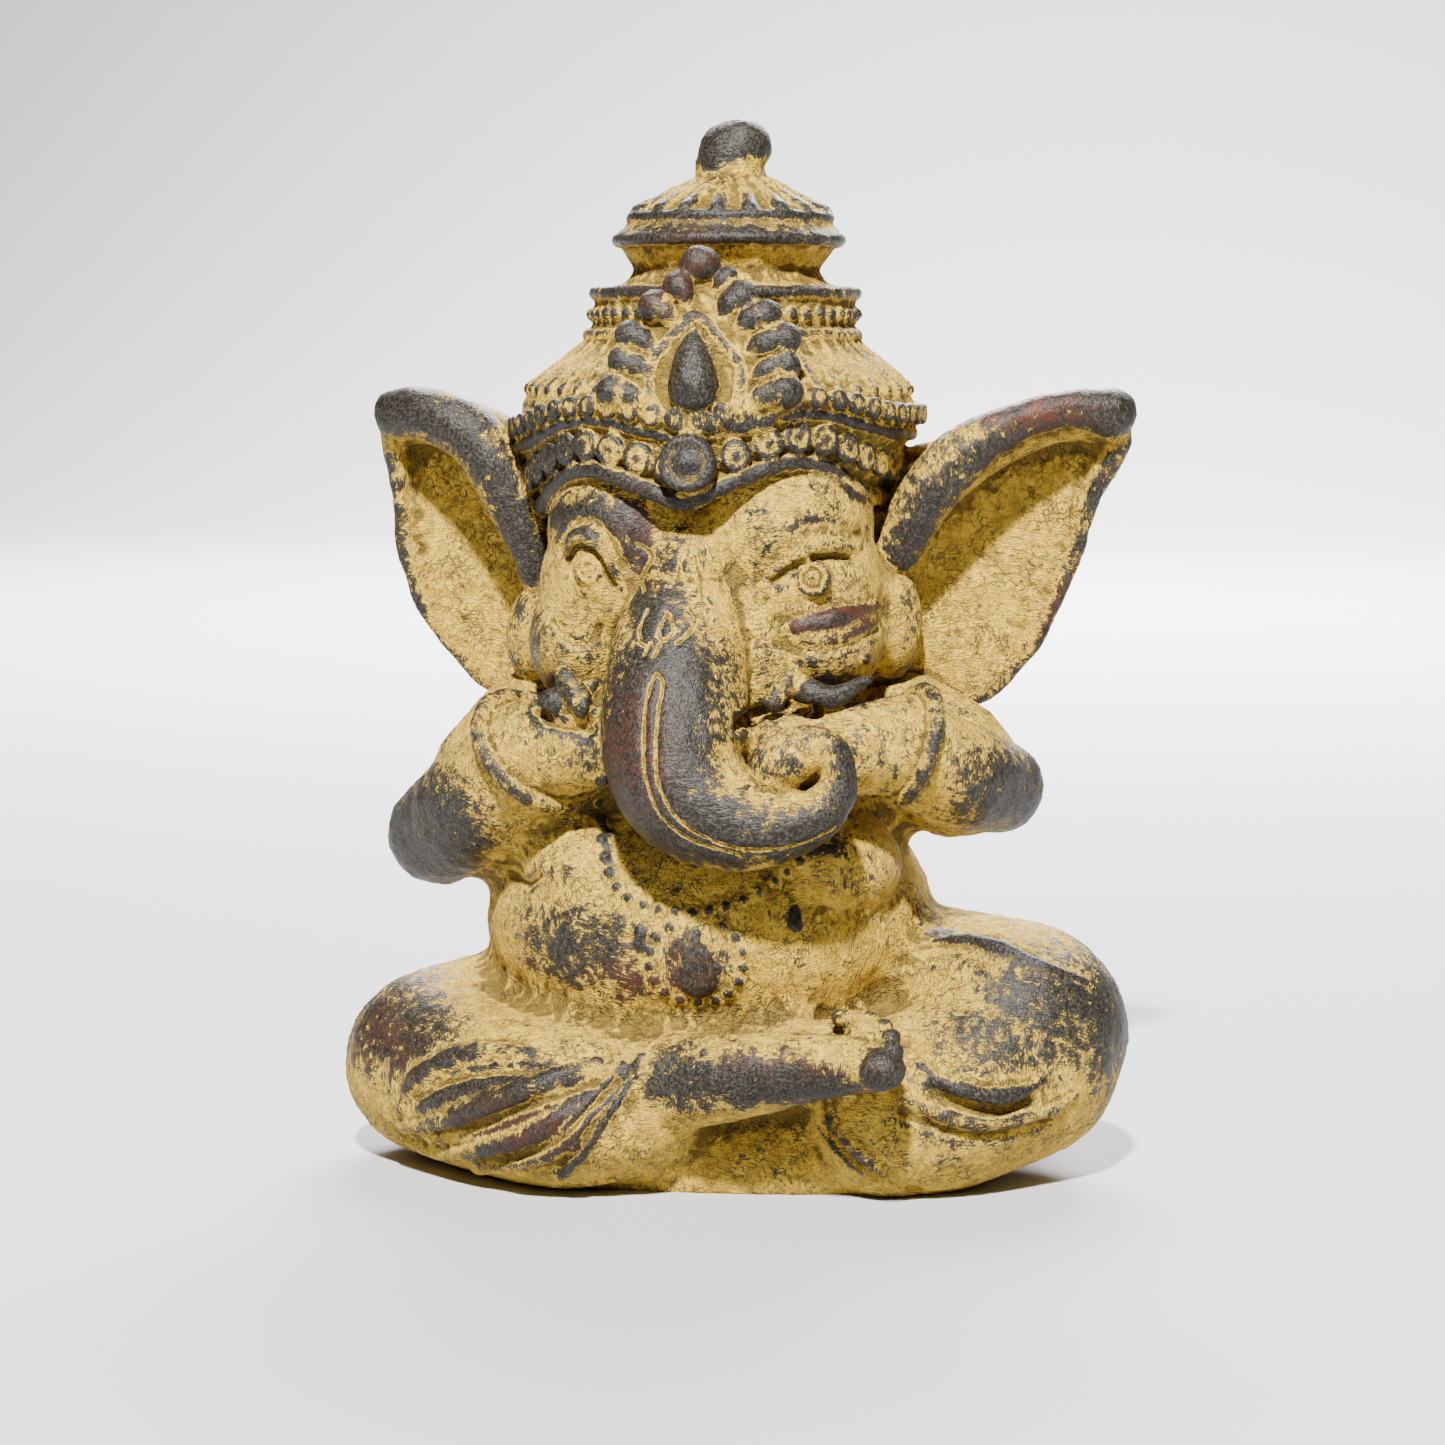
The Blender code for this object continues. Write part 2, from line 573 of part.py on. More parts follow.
def main():
    """Build the statue and centre it on the Z axis."""
    for item in list(bpy.data.objects):
        bpy.data.objects.remove(item)
    shape = statue()
    spans = [[vertex.co[i] for vertex in shape.verts] for i in range(2)]
    middle = Vector([(min(span) + max(span)) / 2 for span in spans] + [0.0])
    bmesh.ops.translate(shape, verts=shape.verts, vec=-middle)
    mesh = bpy.data.meshes.new("ganesha_statue")
    shape.to_mesh(mesh)
    shape.free()
    mesh.materials.append(stone())
    piece = bpy.data.objects.new("ganesha_statue", mesh)
    bpy.context.scene.collection.objects.link(piece)


main()
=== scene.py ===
"""The looks of the baby Ganesha statue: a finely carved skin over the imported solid, its ochre patina,
the camera, a pale floor and soft light.

Every length of the form is a count of shares, and a share is one three-hundredth of the statue's height.
"""
from math import cos, exp, pi, radians, sin, sqrt

import bmesh
import bpy
import numpy as np
from mathutils import Euler, Matrix, Vector
from mathutils.bvhtree import BVHTree


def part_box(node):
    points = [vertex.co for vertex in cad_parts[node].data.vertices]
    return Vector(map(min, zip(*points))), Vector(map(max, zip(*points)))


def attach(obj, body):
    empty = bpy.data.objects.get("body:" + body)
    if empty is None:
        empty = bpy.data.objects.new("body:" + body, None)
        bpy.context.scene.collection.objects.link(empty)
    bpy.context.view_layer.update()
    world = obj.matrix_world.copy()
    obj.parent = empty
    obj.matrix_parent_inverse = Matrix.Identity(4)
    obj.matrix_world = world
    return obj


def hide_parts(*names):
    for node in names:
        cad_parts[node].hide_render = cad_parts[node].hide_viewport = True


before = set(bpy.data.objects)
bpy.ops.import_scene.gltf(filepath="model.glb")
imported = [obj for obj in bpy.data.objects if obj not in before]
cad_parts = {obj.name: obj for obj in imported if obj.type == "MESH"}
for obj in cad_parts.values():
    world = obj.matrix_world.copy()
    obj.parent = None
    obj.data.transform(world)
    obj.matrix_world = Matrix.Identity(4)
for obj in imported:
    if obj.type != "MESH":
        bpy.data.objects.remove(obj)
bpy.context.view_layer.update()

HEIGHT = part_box("ganesha_statue")[1][2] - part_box("ganesha_statue")[0][2]
SHARE = HEIGHT / 300

# How finely the clay is worked, in shares
BODY_VOXEL = 1.1
CROWN_VOXEL = 0.7
CAST_VOXEL = 0.62
TRIANGLES = 196000

# How the primitives are divided
RING_POINTS = 24
PATH_STEPS = 8

# Crown, in shares: its axis leans a little to +X as it rises
CROWN_BASE = Vector((-3.7, 0.0, 212.0))
CROWN_TOP = Vector((1.4, 4.0, 299.0))
RIM_LOW = 189.0
RIM_HIGH = 207.0
RIM_TILT = 2.2
RIM_RADIUS = 55.5
RIM_TAPER = 8.0
RIM_LOW_RISE = 12.5
RIM_HIGH_RISE = 8.0
BEAD_RADIUS = 3.1
BEAD_COUNT = 56
SMALL_BEAD_COUNT = 48
ROSETTE_COUNT = 40
PETAL_COUNT = 18

# Ears, in shares: how far back the plates lie, their half thickness and how deep they are dished
EAR_BACK = 5.0
EAR_HALF = 3.0
EAR_DISH = 8.0

FORWARD = Vector((0.0, -1.0, 0.0))

# Casting nodules: x, z and radius
NODULES = ((17.3, 131.7, 2.6), (43.5, 147.9, 2.1), (25.4, 176, 1.5), (37, 172.4, 1.1))
CHEST_NODULES = ((-27, 115.5, 2.4), (5, 43.4, 1.8), (-20, 40, 1.4), (58, 70, 1.3))

# Incised lines: width and depth in shares, then rows of x and z, two long ones on the trunk and the
# marks at its root
LINE_WIDTH = 0.95
LINE_DEPTH = 0.75
TRUNK_LINES = [
    [(-9.1, 146.4), (-10.8, 143.4), (-11.8, 135.3), (-11.6, 124.6), (-10, 116.6), (-6, 108.5), (2.1, 102.5),
     (15.6, 98.7)],
    [(-9.1, 146.4), (-7.2, 143.5), (-8.1, 134.1), (-7.8, 122), (-5.7, 114.7), (-0.5, 107.3), (10.2, 101.9),
     (21, 100.2), (31.7, 101.8), (40.3, 105.7)],
]
ROOT_MARKS = [
    [(-18.5, 180), (-14.6, 176.8), (-17.4, 170.4), (-16.3, 167.1)],
    [(-4.9, 179.6), (-6, 175.2), (-6.8, 169.7)],
    [(-1.8, 176.9), (-0.7, 172.5), (0.9, 165.9), (2.1, 164.3)],
    [(-8.1, 161.8), (-9.8, 157.1), (-8.4, 155.2), (-5.7, 157.1), (-7, 160.7), (-8.1, 161.8)],
    [(-2.1, 163.5), (-0.1, 160.8), (-1.2, 157.2), (-4.3, 154.4)],
    [(-14, 162.5), (-15.9, 157.8), (-15.1, 155.1)],
    [(-15.3, 154.1), (-13.3, 153.3)],
    [(-11.7, 154.1), (-13.1, 151.1)],
    [(-9.2, 153.9), (-10.6, 150.6)],
]

# Creases as rows of x and z, with a width and a depth: mouth, cheeks, folds of cloth and skin
CREASES = [
    ([(12.6, 131.6), (17, 133.8), (24, 134.8), (33, 135.4)], 3.2, 3.4),
    ([(-46, 134.4), (-40, 131), (-30, 130)], 2.6, 2.6),
    ([(-42, 178.4), (-37.6, 185.2), (-31.6, 186.2), (-26, 181.4), (-22.6, 174)], 2.4, 1.5),
    ([(14.8, 171), (19.6, 177.4), (26.4, 182.8), (33, 184.4), (41.6, 182.4)], 2.6, 0.7),
    ([(-39.4, 174.6), (-36, 178.4), (-31.4, 178), (-28.2, 173.6), (-25.6, 168.2)], 1.7, 1.7),
    ([(19, 169.6), (24, 173.2), (29.4, 175.8), (34.6, 176.6), (39.6, 175.8)], 1.7, 1.7),
    ([(20.4, 152.6), (28.4, 150.6), (38.5, 151.2), (47, 155)], 2.6, 1.1),
    ([(-44, 158), (-38.6, 152), (-33, 152), (-30, 156)], 2.2, 1.0),
    ([(-27, 142), (-29, 134), (-31, 129)], 2.4, 1.8),
    ([(-58, 84), (-52, 82.6), (-47, 86)], 2.4, 1.4),
    ([(-80, 24), (-69, 31), (-54, 35.4), (-43, 36.6)], 2.4, 1.4),
    ([(-74, 14.6), (-57, 21), (-41, 28.4), (-26, 34.6)], 2.6, 1.8),
    ([(-60, 8), (-45, 13.6), (-33, 20.4), (-19, 35)], 2.4, 1.7),
    ([(-46, 6.6), (-31, 14), (-24.6, 24), (-16, 37)], 2.4, 1.6),
    ([(66, 32), (75, 28.4), (84, 26.6), (92, 28)], 2.8, 2.2),
    ([(58, 27), (70, 21.6), (83, 19.6), (97, 21.4)], 2.6, 1.6),
    ([(36, 21), (43, 14), (52, 7), (62, 2)], 2.6, 3.0),
    ([(-20, 6), (-34, 2)], 2.4, 1.6),
]

# Unevenness of the hand-worked surface: name, size and depth in shares
HAND_MARKS = (("dents", 7.0, 0.9), ("grit", 2.2, 0.55))

# Where the wash is rubbed back to the dark casting: x, z, half width, half height, strength, deepest y
RUBBED = [
    (0.5, 293.5, 12, 10, 1.1, 40), (1, 268.5, 40, 6.5, 0.9, 12), (0, 249.8, 42, 2.6, 0.6, 8),
    (-97, 217, 12, 9, 1.0, 10), (-79, 214, 18, 7, 0.6, 5),
    (91, 217, 20, 7, 0.7, 5), (111, 217, 10, 9, 1.0, 10), (-33, 185.7, 15, 7.5, 0.75, -20),
    (-17, 178, 7, 12, 0.7, -30), (-12, 163, 9, 15, 0.7, -40), (-8.5, 141, 17, 16, 1.2, -50),
    (-10, 124, 18.5, 20, 1.3, -55), (0, 106, 22, 11, 1.2, -55), (34, 103, 14, 8, 1.0, -55),
    (44, 117, 4.6, 12, 0.9, -74), (36.7, 160.1, 14, 4.6, 0.9, -30),
    (-82, 95, 19, 18, 1.1, 20), (84, 110, 14, 14, 0.9, 20),
    (-35, 68, 18, 14, 0.75, -30), (-15, 59, 13, 9, 0.6, -40), (-89, 40, 19, 13, 0.85, 0),
    (-63, 35.4, 18, 5, 0.5, -50), (-55, 25, 21, 8, 0.5, -50), (-30, 25, 8, 14, 0.5, -60),
    (24, 37.5, 32, 6.5, 1.1, -72), (-2, 36, 12, 8, 0.8, -72), (56, 44, 8, 6, 1.2, -80),
    (94, 50, 26, 16, 0.8, -20), (113, 46, 9, 18, 0.9, 5), (84, 32.5, 14, 3.5, 0.6, -50),
    (-52, 155, 4.5, 18, 0.5, 0), (92, 156, 10, 14, 0.35, 5), (-46, 204, 18, 15, 0.8, 0),
    (34, 208, 26, 11, 0.42, -10), (-22, 236, 9, 18, 0.5, -40), (22, 232, 8, 16, 0.5, -40),
    (10, 248, 8, 5, 0.5, -40), (-2.2, 226, 8, 13, 1.1, -50), (-3, 202.6, 9, 9, 1.2, -50),
    (0.2, 63.6, 9, 10, 1.1, -50), (-2.2, 257, 8, 6, 1.2, -30), (-42, 137, 6, 5, 1.1, -40),
    (38, 140, 11, 4, 1.1, -45), (-15.2, 71.9, 3.5, 4.5, 1.0, -50), (26.2, 76.8, 2.6, 3, 0.9, -50),
]

# Where the rubbed casting is reddish brown, in the same form
REDDISH = [
    (36.7, 160.1, 16, 7, 1.0, -30), (88, 217, 16, 7, 0.9, 5), (92, 156, 12, 16, 0.7, 5),
    (-14, 124, 10, 20, 0.5, -55), (-45, 22, 20, 8, 0.6, -50), (-15, 58, 14, 8, 0.7, -40),
    (-10, 255, 14, 12, 0.5, -30), (-95, 36, 14, 12, 0.4, 0), (30, 45, 22, 5, 0.4, -70),
    (-17, 183, 8, 12, 0.4, -30), (0.2, 63.6, 9, 10, 0.3, -50),
]

# Where the wash is thick and stays on, in the same form
KEPT = [
    (-32, 179, 9, 7, 0.75, -40), (30, 178, 14, 6, 0.3, -40), (8, 284, 8, 5, 0.8, 10),
    (-31, 170, 7, 7, 0.2, -40), (44, 44, 8, 6, 0.4, -80),
]

# Where the wash is rubbed back along a stroke: rows of x and z, a width and a strength
STROKES = [
    ([(12.7, 168), (18.7, 178), (26.7, 185), (36, 190)], 3.4, 0.34),
    ([(-97, 216), (-84, 213), (-72, 205), (-62, 191), (-56, 175), (-52, 160)], 12, 0.55),
    ([(112, 213), (98, 213), (84, 208), (70, 199), (59, 187), (52, 174)], 9, 0.55),
    ([(114, 214), (106, 192), (101, 174)], 4, 0.2),
    ([(-102, 205), (-100, 180), (-94, 156)], 3, 0.2),
    ([(-22, 188), (-17, 178), (-17, 166), (-14, 156)], 7, 0.8),
    ([(-46, 186), (-38, 188), (-27, 184)], 7, 0.75),
    ([(62, 68), (76, 68), (92, 63), (104, 57)], 6, 0.75),
    ([(-78, 22), (-60, 30), (-40, 37)], 7, 0.7),
    ([(-62, 8), (-44, 18), (-28, 30)], 6, 0.7),
    ([(-34, 8), (-24, 24), (-15, 38)], 5, 0.6),
    ([(66, 34), (78, 30), (90, 31)], 4, 0.9),
    ([(-31.2, 108), (-28, 98), (-25, 88)], 3, 0.8),
]

# How far a patch's edge fades past its half sizes, and behind its deepest y in shares
PATCH_EDGE = 1.45
PATCH_FADE = 6.0

# How strongly the band's ridges are rubbed
RIM_RUB = 0.7

# Wear starts a little above the underside and is full a fade higher, in shares
WEAR_START = 3.0
WEAR_FADE = 8.0

# Rounds of smoothing for small and broad forms, and how much each counts as standing proud
SMALL_ROUNDS = 4
BROAD_ROUNDS = 40
SMALL_PROUD = 2.0
BROAD_PROUD = 0.08

# Rays that feel how sheltered a point is, for the shade painted into closed-off places: their length and
# their start above the skin, in shares, and a slanting direction that their turns are measured from
SHELTER_RAYS = 28
SHELTER_REACH = 26.0
SHELTER_LIFT = 0.6
ASKEW = (0.31, 0.87, 0.39)

# Colours of the finish, linear
OCHRE_LIGHT = (0.66, 0.425, 0.045, 1.0)
OCHRE_DEEP = (0.46, 0.28, 0.028, 1.0)
MOSS_GREY = (0.078, 0.070, 0.034, 1.0)
# Dark brown painted into creases and closed-off hollows as painted shade
PAINTED_SHADE_BROWN = (0.026, 0.018, 0.007, 1.0)
CAST_DARK = (0.009, 0.0075, 0.0055, 1.0)
CAST_GREY = (0.054, 0.047, 0.034, 1.0)
CAST_RED = (0.064, 0.019, 0.010, 1.0)

# Noise of the finish, in cycles a metre
BROAD_SCALE = 55.0
MEDIUM_SCALE = 260.0
FINE_SCALE = 1150.0
DRIFT_SCALE = 150.0
DRIFT = 0.003
ACROSS_SCALE = 1900.0
DOWN_SCALE = 1800.0
TURN_SCALE = 38.0
WRINKLE_SCALE = 430.0
WRINKLE_PATCH_SCALE = 110.0
PIT_SCALE = 620.0

# Shares that make up the bare casting, and where it starts and is full
PROUD_SHARE = 0.95
MOTTLE_SHARE = 0.42
SPECKLE_SHARE = 0.75
WRINKLE_SHARE = 0.16
LINE_SHARE = 1.8
BARE_START = 0.36
BARE_FULL = 0.78

# Gloss and grain of the finish
WASH_ROUGHNESS = 0.8
RUBBED_SHINE = 0.44
RUBBED_METAL = 0.15
SPECULAR = 0.22
BUMP_HEIGHT = 0.0010

# Camera in metres, lens and sensor in millimetres: almost in front, a little to +X and above the middle
CAMERA_PLACE = Vector((0.13420, -0.96868, 0.23716))
CAMERA_AIM = Vector((-0.00630, 0.01533, 0.12482))
CAMERA_LENS = 85.25
SENSOR_WIDTH = 36.0

# Floor and backdrop, in metres: how far the floor runs, where it starts to bend up and the bend's radius
FLOOR_REACH = 6.0
FLOOR_DEPTH = 3.0
FLOOR_BEND = 1.2
FLOOR_GREY = (0.46, 0.46, 0.46, 1.0)
FLOOR_ROUGHNESS = 0.9

# Lights: name, place, aim, size and watts
LIGHTS = (
    ("key", (0.05, -1.2, 1.47), (0, 0, 0.14), 0.1, 148.0),
    ("backdrop", (0.0, 1.6, 1.7), (0, 4.0, 0.2), 1.6, 30.0),
    ("far_floor", (0.0, 2.1, 1.5), (0, 2.1, 0), 1.6, 420.0),
)
SKY_COLOUR = (0.9, 0.93, 1.0, 1.0)
SKY_STRENGTH = 0.035


def through(rows):
    """Rows of numbers spaced along a smooth curve through the given rows."""
    rows = np.array(rows, float)
    ends = np.vstack([2 * rows[0] - rows[1], rows, 2 * rows[-1] - rows[-2]])
    curve = []
    for before, start, stop, after in zip(ends, ends[1:], ends[2:], ends[3:]):
        for step in range(PATH_STEPS):
            t = step / PATH_STEPS
            bend = 2 * before - 5 * start + 4 * stop - after
            twist = 3 * start - before - 3 * stop + after
            curve.append(start + 0.5 * (t * (stop - before) + t * t * bend + t ** 3 * twist))
    curve.append(rows[-1])
    return np.array(curve)


class Clay:
    """Closed shells that may overlap, gathered before they are pressed into one skin."""

    def __init__(self):
        self.points = []
        self.faces = []

    def add(self, points, faces):
        """Add one shell, with its points in shares."""
        first = len(self.points)
        self.points.extend(Vector(point) * SHARE for point in points)
        self.faces.extend([first + index for index in face] for face in faces)

    def add_mesh(self, mesh):
        """Add a shell that is already a mesh, in metres."""
        first = len(self.points)
        self.points.extend(vertex.co.copy() for vertex in mesh.vertices)
        self.faces.extend([first + index for index in face.vertices] for face in mesh.polygons)


def unit_ball():
    """The points and faces of a sphere of radius 1."""
    shape = bmesh.new()
    bmesh.ops.create_uvsphere(shape, u_segments=24, v_segments=16, radius=1.0)
    shape.verts.ensure_lookup_table()
    points = [vertex.co.copy() for vertex in shape.verts]
    faces = [[vertex.index for vertex in face.verts] for face in shape.faces]
    shape.free()
    return points, faces


BALL_POINTS, BALL_FACES = unit_ball()


def lump(clay, centre, axes):
    """A round lump whose half-lengths and directions are the three given vectors."""
    place = Matrix(axes).transposed().to_4x4()
    place.translation = Vector(centre)
    clay.add([place @ point for point in BALL_POINTS], BALL_FACES)


def ball(clay, centre, radii, turn=(0, 0, 0)):
    """An egg-shaped lump, turned about its own axes by degrees."""
    spin = Euler([radians(angle) for angle in turn]).to_matrix()
    lump(clay, centre, [spin.col[i] * radii[i] for i in range(3)])


def skin(clay, rings):
    """A closed skin over a row of rings with the same number of points."""
    count = len(rings[0])
    faces = []
    for row in range(len(rings) - 1):
        for i in range(count):
            lower = row * count + i
            beside = row * count + (i + 1) % count
            faces.append((lower, beside, beside + count, lower + count))
    faces.append(list(reversed(range(count))))
    faces.append(list(range((len(rings) - 1) * count, len(rings) * count)))
    clay.add([point for ring in rings for point in ring], faces)


def limb(clay, rows, face=FORWARD, thin=1.0, blunt=1.0):
    """A round-ended limb along a smooth path of x, y, z and radius; thin flattens it along face."""
    curve = through(rows)
    rings = []
    frames = []
    slopes = np.gradient(curve[:, :3], axis=0)
    for point, slope in zip(curve.tolist(), slopes.tolist()):
        centre = Vector(point[:3])
        radius = point[3]
        along = Vector(slope).normalized()
        side = along.cross(face).normalized()
        front = side.cross(along)
        frames.append((centre, side * radius, front * radius * thin, along * radius * blunt))
        turns = [2 * pi * i / RING_POINTS for i in range(RING_POINTS)]
        rings.append([centre + radius * (cos(a) * side + thin * sin(a) * front) for a in turns])
    skin(clay, rings)
    for centre, *axes in (frames[0], frames[-1]):
        lump(clay, centre, axes)


def hoop(clay, centre, axis, radius, thickness):
    """A round ring about an axis."""
    axis = Vector(axis).normalized()
    side = axis.orthogonal().normalized()
    front = axis.cross(side)
    steps = 12
    path = []
    for i in range(steps + 2):
        angle = 2 * pi * i / steps
        path.append((*(Vector(centre) + radius * (cos(angle) * side + sin(angle) * front)), thickness))
    limb(clay, path, face=axis)


def pressed(clay, voxel, fill=0.0, smooth=0):
    """One soft skin over the clay: creases are filled to a radius and the surface is rubbed smooth."""
    mesh = bpy.data.meshes.new("clay")
    mesh.from_pydata(clay.points, [], clay.faces)
    body = bpy.data.objects.new("clay", mesh)
    bpy.context.scene.collection.objects.link(body)
    fused(body, voxel)
    if fill:
        swollen(body, fill)
        fused(body, voxel)
        swollen(body, -fill)
        fused(body, voxel)
    if smooth:
        rub = body.modifiers.new("rub", "SMOOTH")
        rub.factor = 0.5
        rub.iterations = smooth
    result = evaluated(body)
    bpy.data.objects.remove(body)
    return result


def fused(body, voxel):
    """Make one skin of overlapping lumps."""
    fuse = body.modifiers.new("fuse", "REMESH")
    fuse.mode = "VOXEL"
    fuse.voxel_size = voxel * SHARE
    fuse.adaptivity = 0.0


def swollen(body, distance):
    """Move the whole skin out, or in for a negative distance."""
    swell = body.modifiers.new("swell", "DISPLACE")
    swell.strength = distance * SHARE
    swell.mid_level = 0.0


def evaluated(body):
    """A copy of the object's mesh with its modifiers applied."""
    graph = bpy.context.evaluated_depsgraph_get()
    return bpy.data.meshes.new_from_object(body.evaluated_get(graph))


def surface(mesh):
    """A search tree over a mesh, for laying carving on it."""
    shape = bmesh.new()
    shape.from_mesh(mesh)
    tree = BVHTree.FromBMesh(shape)
    shape.free()
    return tree


def front_of(tree, x, z):
    """The Y of the foremost point of a surface at a place seen from the front, in shares."""
    start = Vector((x, -300.0, z)) * SHARE
    point = tree.ray_cast(start, Vector((0.0, 1.0, 0.0)))[0]
    return 0.0 if point is None else point.y / SHARE


def ridge(clay, tree, rows, sink=0.35, thin=1.0):
    """A ridge laid along a surface; each row is x, z and a radius."""
    path = [(x, front_of(tree, x, z) + sink * radius, z, radius) for x, z, radius in rows]
    limb(clay, path, thin=thin)


def bead(clay, tree, x, z, radius, sink=0.3):
    """A bead laid on a surface."""
    ball(clay, (x, front_of(tree, x, z) + sink * radius, z), (radius, radius, radius))


def torso(clay):
    """Belly, chest, breasts, shoulders and hips."""
    ball(clay, (-5, -4, 68), (66, 66, 44))
    ball(clay, (-4, 2, 100), (58, 50, 34))
    ball(clay, (0, 6, 124), (52, 42, 30))
    ball(clay, (-30, -34, 86), (25, 25, 18))
    ball(clay, (29, -33, 88), (25, 25, 18))
    ball(clay, (3, 10, 22), (88, 46, 34))


def legs(clay):
    """Crossed legs under draped cloth."""
    limb(clay, [(-38, 14, 30, 30), (-64, -8, 29, 28), (-82, -28, 27, 27)])
    limb(clay, [(-80, -32, 26, 26), (-58, -52, 24, 24), (-36, -64, 23, 23), (-18, -64, 24, 20)])
    limb(clay, [(38, 12, 40, 30), (62, -6, 41, 31), (86, -26, 40, 32)])
    limb(clay, [(86, -30, 34, 30), (68, -46, 26, 27), (53, -52, 22, 25)])
    limb(clay, [(-20, -52, 4, 14), (4, -52, 5, 15), (26, -50, 7, 16), (44, -46, 10, 18)])


def foot(clay):
    """The ankle and the foot that lies across the lap, with its toes."""
    limb(clay, [(-12, -70, 31, 13), (4, -75, 34, 12.5), (17, -79, 37, 11.5), (32, -82, 40, 9.8)])
    limb(clay, [(32, -82, 40, 9.8), (44, -87, 41.5, 7.8), (53, -91, 42.5, 6.2)])
    limb(clay, [(-6, -58, 32, 12), (20, -62, 37, 11), (44, -68, 41, 10)])
    ball(clay, (49, -81, 44.5), (7, 8, 7))


def arms(clay):
    """Folded arms, and hands that reach behind the trunk."""
    limb(clay, [(-56, -2, 118, 22), (-70, -8, 101, 22.5), (-83.5, -15, 92.5, 15.5)])
    limb(clay, [(-83, -18, 93, 15.5), (-66, -34, 105, 18), (-50, -48, 120, 16)])
    limb(clay, [(-50, -48, 120, 15), (-36, -53, 124, 14), (-18, -56, 126, 12)])
    limb(clay, [(52, 0, 120, 20), (68, -8, 112, 19.5), (79.5, -15, 109, 13.4)])
    limb(clay, [(79, -18, 109, 13), (68, -34, 115, 15.5), (55, -46, 124, 14.5)])
    limb(clay, [(56, -46, 124, 14), (44, -54, 124, 13), (24, -58, 123, 12)])


def head(clay):
    """Skull, forehead lobes, nose bridge, cheeks, jaw and the lobes where the ears grow."""
    ball(clay, (-2, 0, 166), (46, 46, 46))
    ball(clay, (-24, -20, 182), (25.5, 34, 27))
    ball(clay, (17.5, -18, 184), (26.5, 36, 28))
    ball(clay, (-5, -30, 172), (18, 27, 22))
    ball(clay, (-27, -21, 167), (25, 31, 22))
    ball(clay, (22, -20, 167), (25.5, 32, 22))
    ball(clay, (-37, -26, 151), (17, 24, 20))
    ball(clay, (30, -27, 152), (17.5, 25, 19))
    ball(clay, (2, -26, 138), (36, 28, 20))
    ball(clay, (-56, -7, 150), (9, 12, 15))
    ball(clay, (49, -7, 155), (8, 12, 16))
    ball(clay, (0, 6, 138), (46, 36, 28))


def ear(clay, side, outline):
    """An ear: a plate inside a smooth outline of x and z, dished towards the back."""
    closed = through(outline + outline[:1])[:-1]
    rings = []
    for y in (EAR_BACK - EAR_HALF, EAR_BACK + EAR_HALF):
        rings.append([(side * x, y, z) for x, z in closed])
    plate = Clay()
    skin(plate, rings)
    mesh = pressed(plate, BODY_VOXEL, smooth=4)
    for vertex in mesh.vertices:
        reach = (side * vertex.co.x / SHARE - 48) / 62
        vertex.co.y += EAR_DISH * sin(pi * min(max(reach, 0), 1)) * SHARE
    clay.add_mesh(mesh)


def ears(clay):
    """Both ears with their folded upper rims and thin outer edges."""
    left = [(40, 206), (62, 211), (84, 218), (100, 220), (104, 210), (101, 195), (101, 176), (97.5, 160),
            (90, 147), (76, 132), (62, 134), (42, 148), (36, 178)]
    ear(clay, -1, left)
    right = [(32, 202), (58, 207), (80, 216), (98, 220), (114, 220), (115, 209), (106, 190), (101, 173),
             (97, 161), (88, 144), (72, 129), (58, 136), (38, 150), (30, 178)]
    ear(clay, 1, right)
    limb(clay, [(-98.5, -1, 214.5, 7.4), (-88, -6, 214.5, 8.2), (-74, -9, 208, 8.8), (-64.5, -10, 193, 8),
                (-57.5, -10, 176, 6), (-53, -8, 160, 4.5)])
    limb(clay, [(-98, 3, 213, 7), (-84, 2, 212, 8), (-68, 1, 205, 9), (-56, 0, 190, 9)])
    limb(clay, [(110, -2, 215.5, 7.6), (98, -7, 216.5, 5.6), (84, -9, 213, 5.8), (70, -10, 205, 7.8),
                (59, -10, 193, 8.6), (50, -9, 176, 6.5)])
    limb(clay, [(109, 3, 214, 7), (92, 2, 213, 7), (72, 1, 204, 8), (56, 0, 192, 9)])
    limb(clay, [(-101, 2, 208, 3.8), (-99.5, 5, 190, 2.8), (-99, 7, 172, 2.2), (-92.5, 8, 153, 1)])
    limb(clay, [(113, 2, 207, 3.8), (104.5, 5, 190, 2.8), (99.5, 7, 172, 2.2), (91, 8, 150, 1)])


def trunk(clay):
    """The trunk, curling up to the viewer's right and round to its blunt tip."""
    limb(clay, [(-4.2, -34, 170, 15), (-6.2, -48, 154, 18.6), (-6.8, -58, 140, 20.2), (-6, -65, 127, 20.4),
                (-2.5, -71, 115.6, 19), (6, -75, 108.6, 16), (17.5, -78, 105.4, 12.6),
                (27.6, -79, 106.4, 9.6), (35, -79, 109, 7.4), (39.8, -79, 114, 5.8)],
         face=Vector((-1.0, 0.0, 0.0)))
    limb(clay, [(39.8, -79, 114, 5.8), (40.8, -78.5, 119.7, 4.9), (38.8, -78, 125, 5.4),
                (33.6, -78, 127, 6.2), (28, -78, 124.6, 7.6), (23.8, -77, 121.8, 7.8)])
    ball(clay, (29, -68, 117), (9, 8, 8))


def crown_axis(z):
    """The point of the crown's leaning axis at a height."""
    share = (z - CROWN_BASE.z) / (CROWN_TOP.z - CROWN_BASE.z)
    return CROWN_BASE.lerp(CROWN_TOP, share)


def rim_height(angle, base, rise):
    """Height of a rim that arches over both brows; the angle runs from the front, positive to +X."""
    side = abs((angle + pi) % (2 * pi) - pi)
    arch = exp(-((side - radians(32)) / radians(26)) ** 2)
    return base + rise * arch + RIM_TILT * sin(angle)


def rim_radius(angle, lift):
    """How far the band stands from the axis: at the sides it narrows towards its lower edge, lift 0."""
    return RIM_RADIUS - RIM_TAPER * sin(angle) ** 2 * (1 - lift)


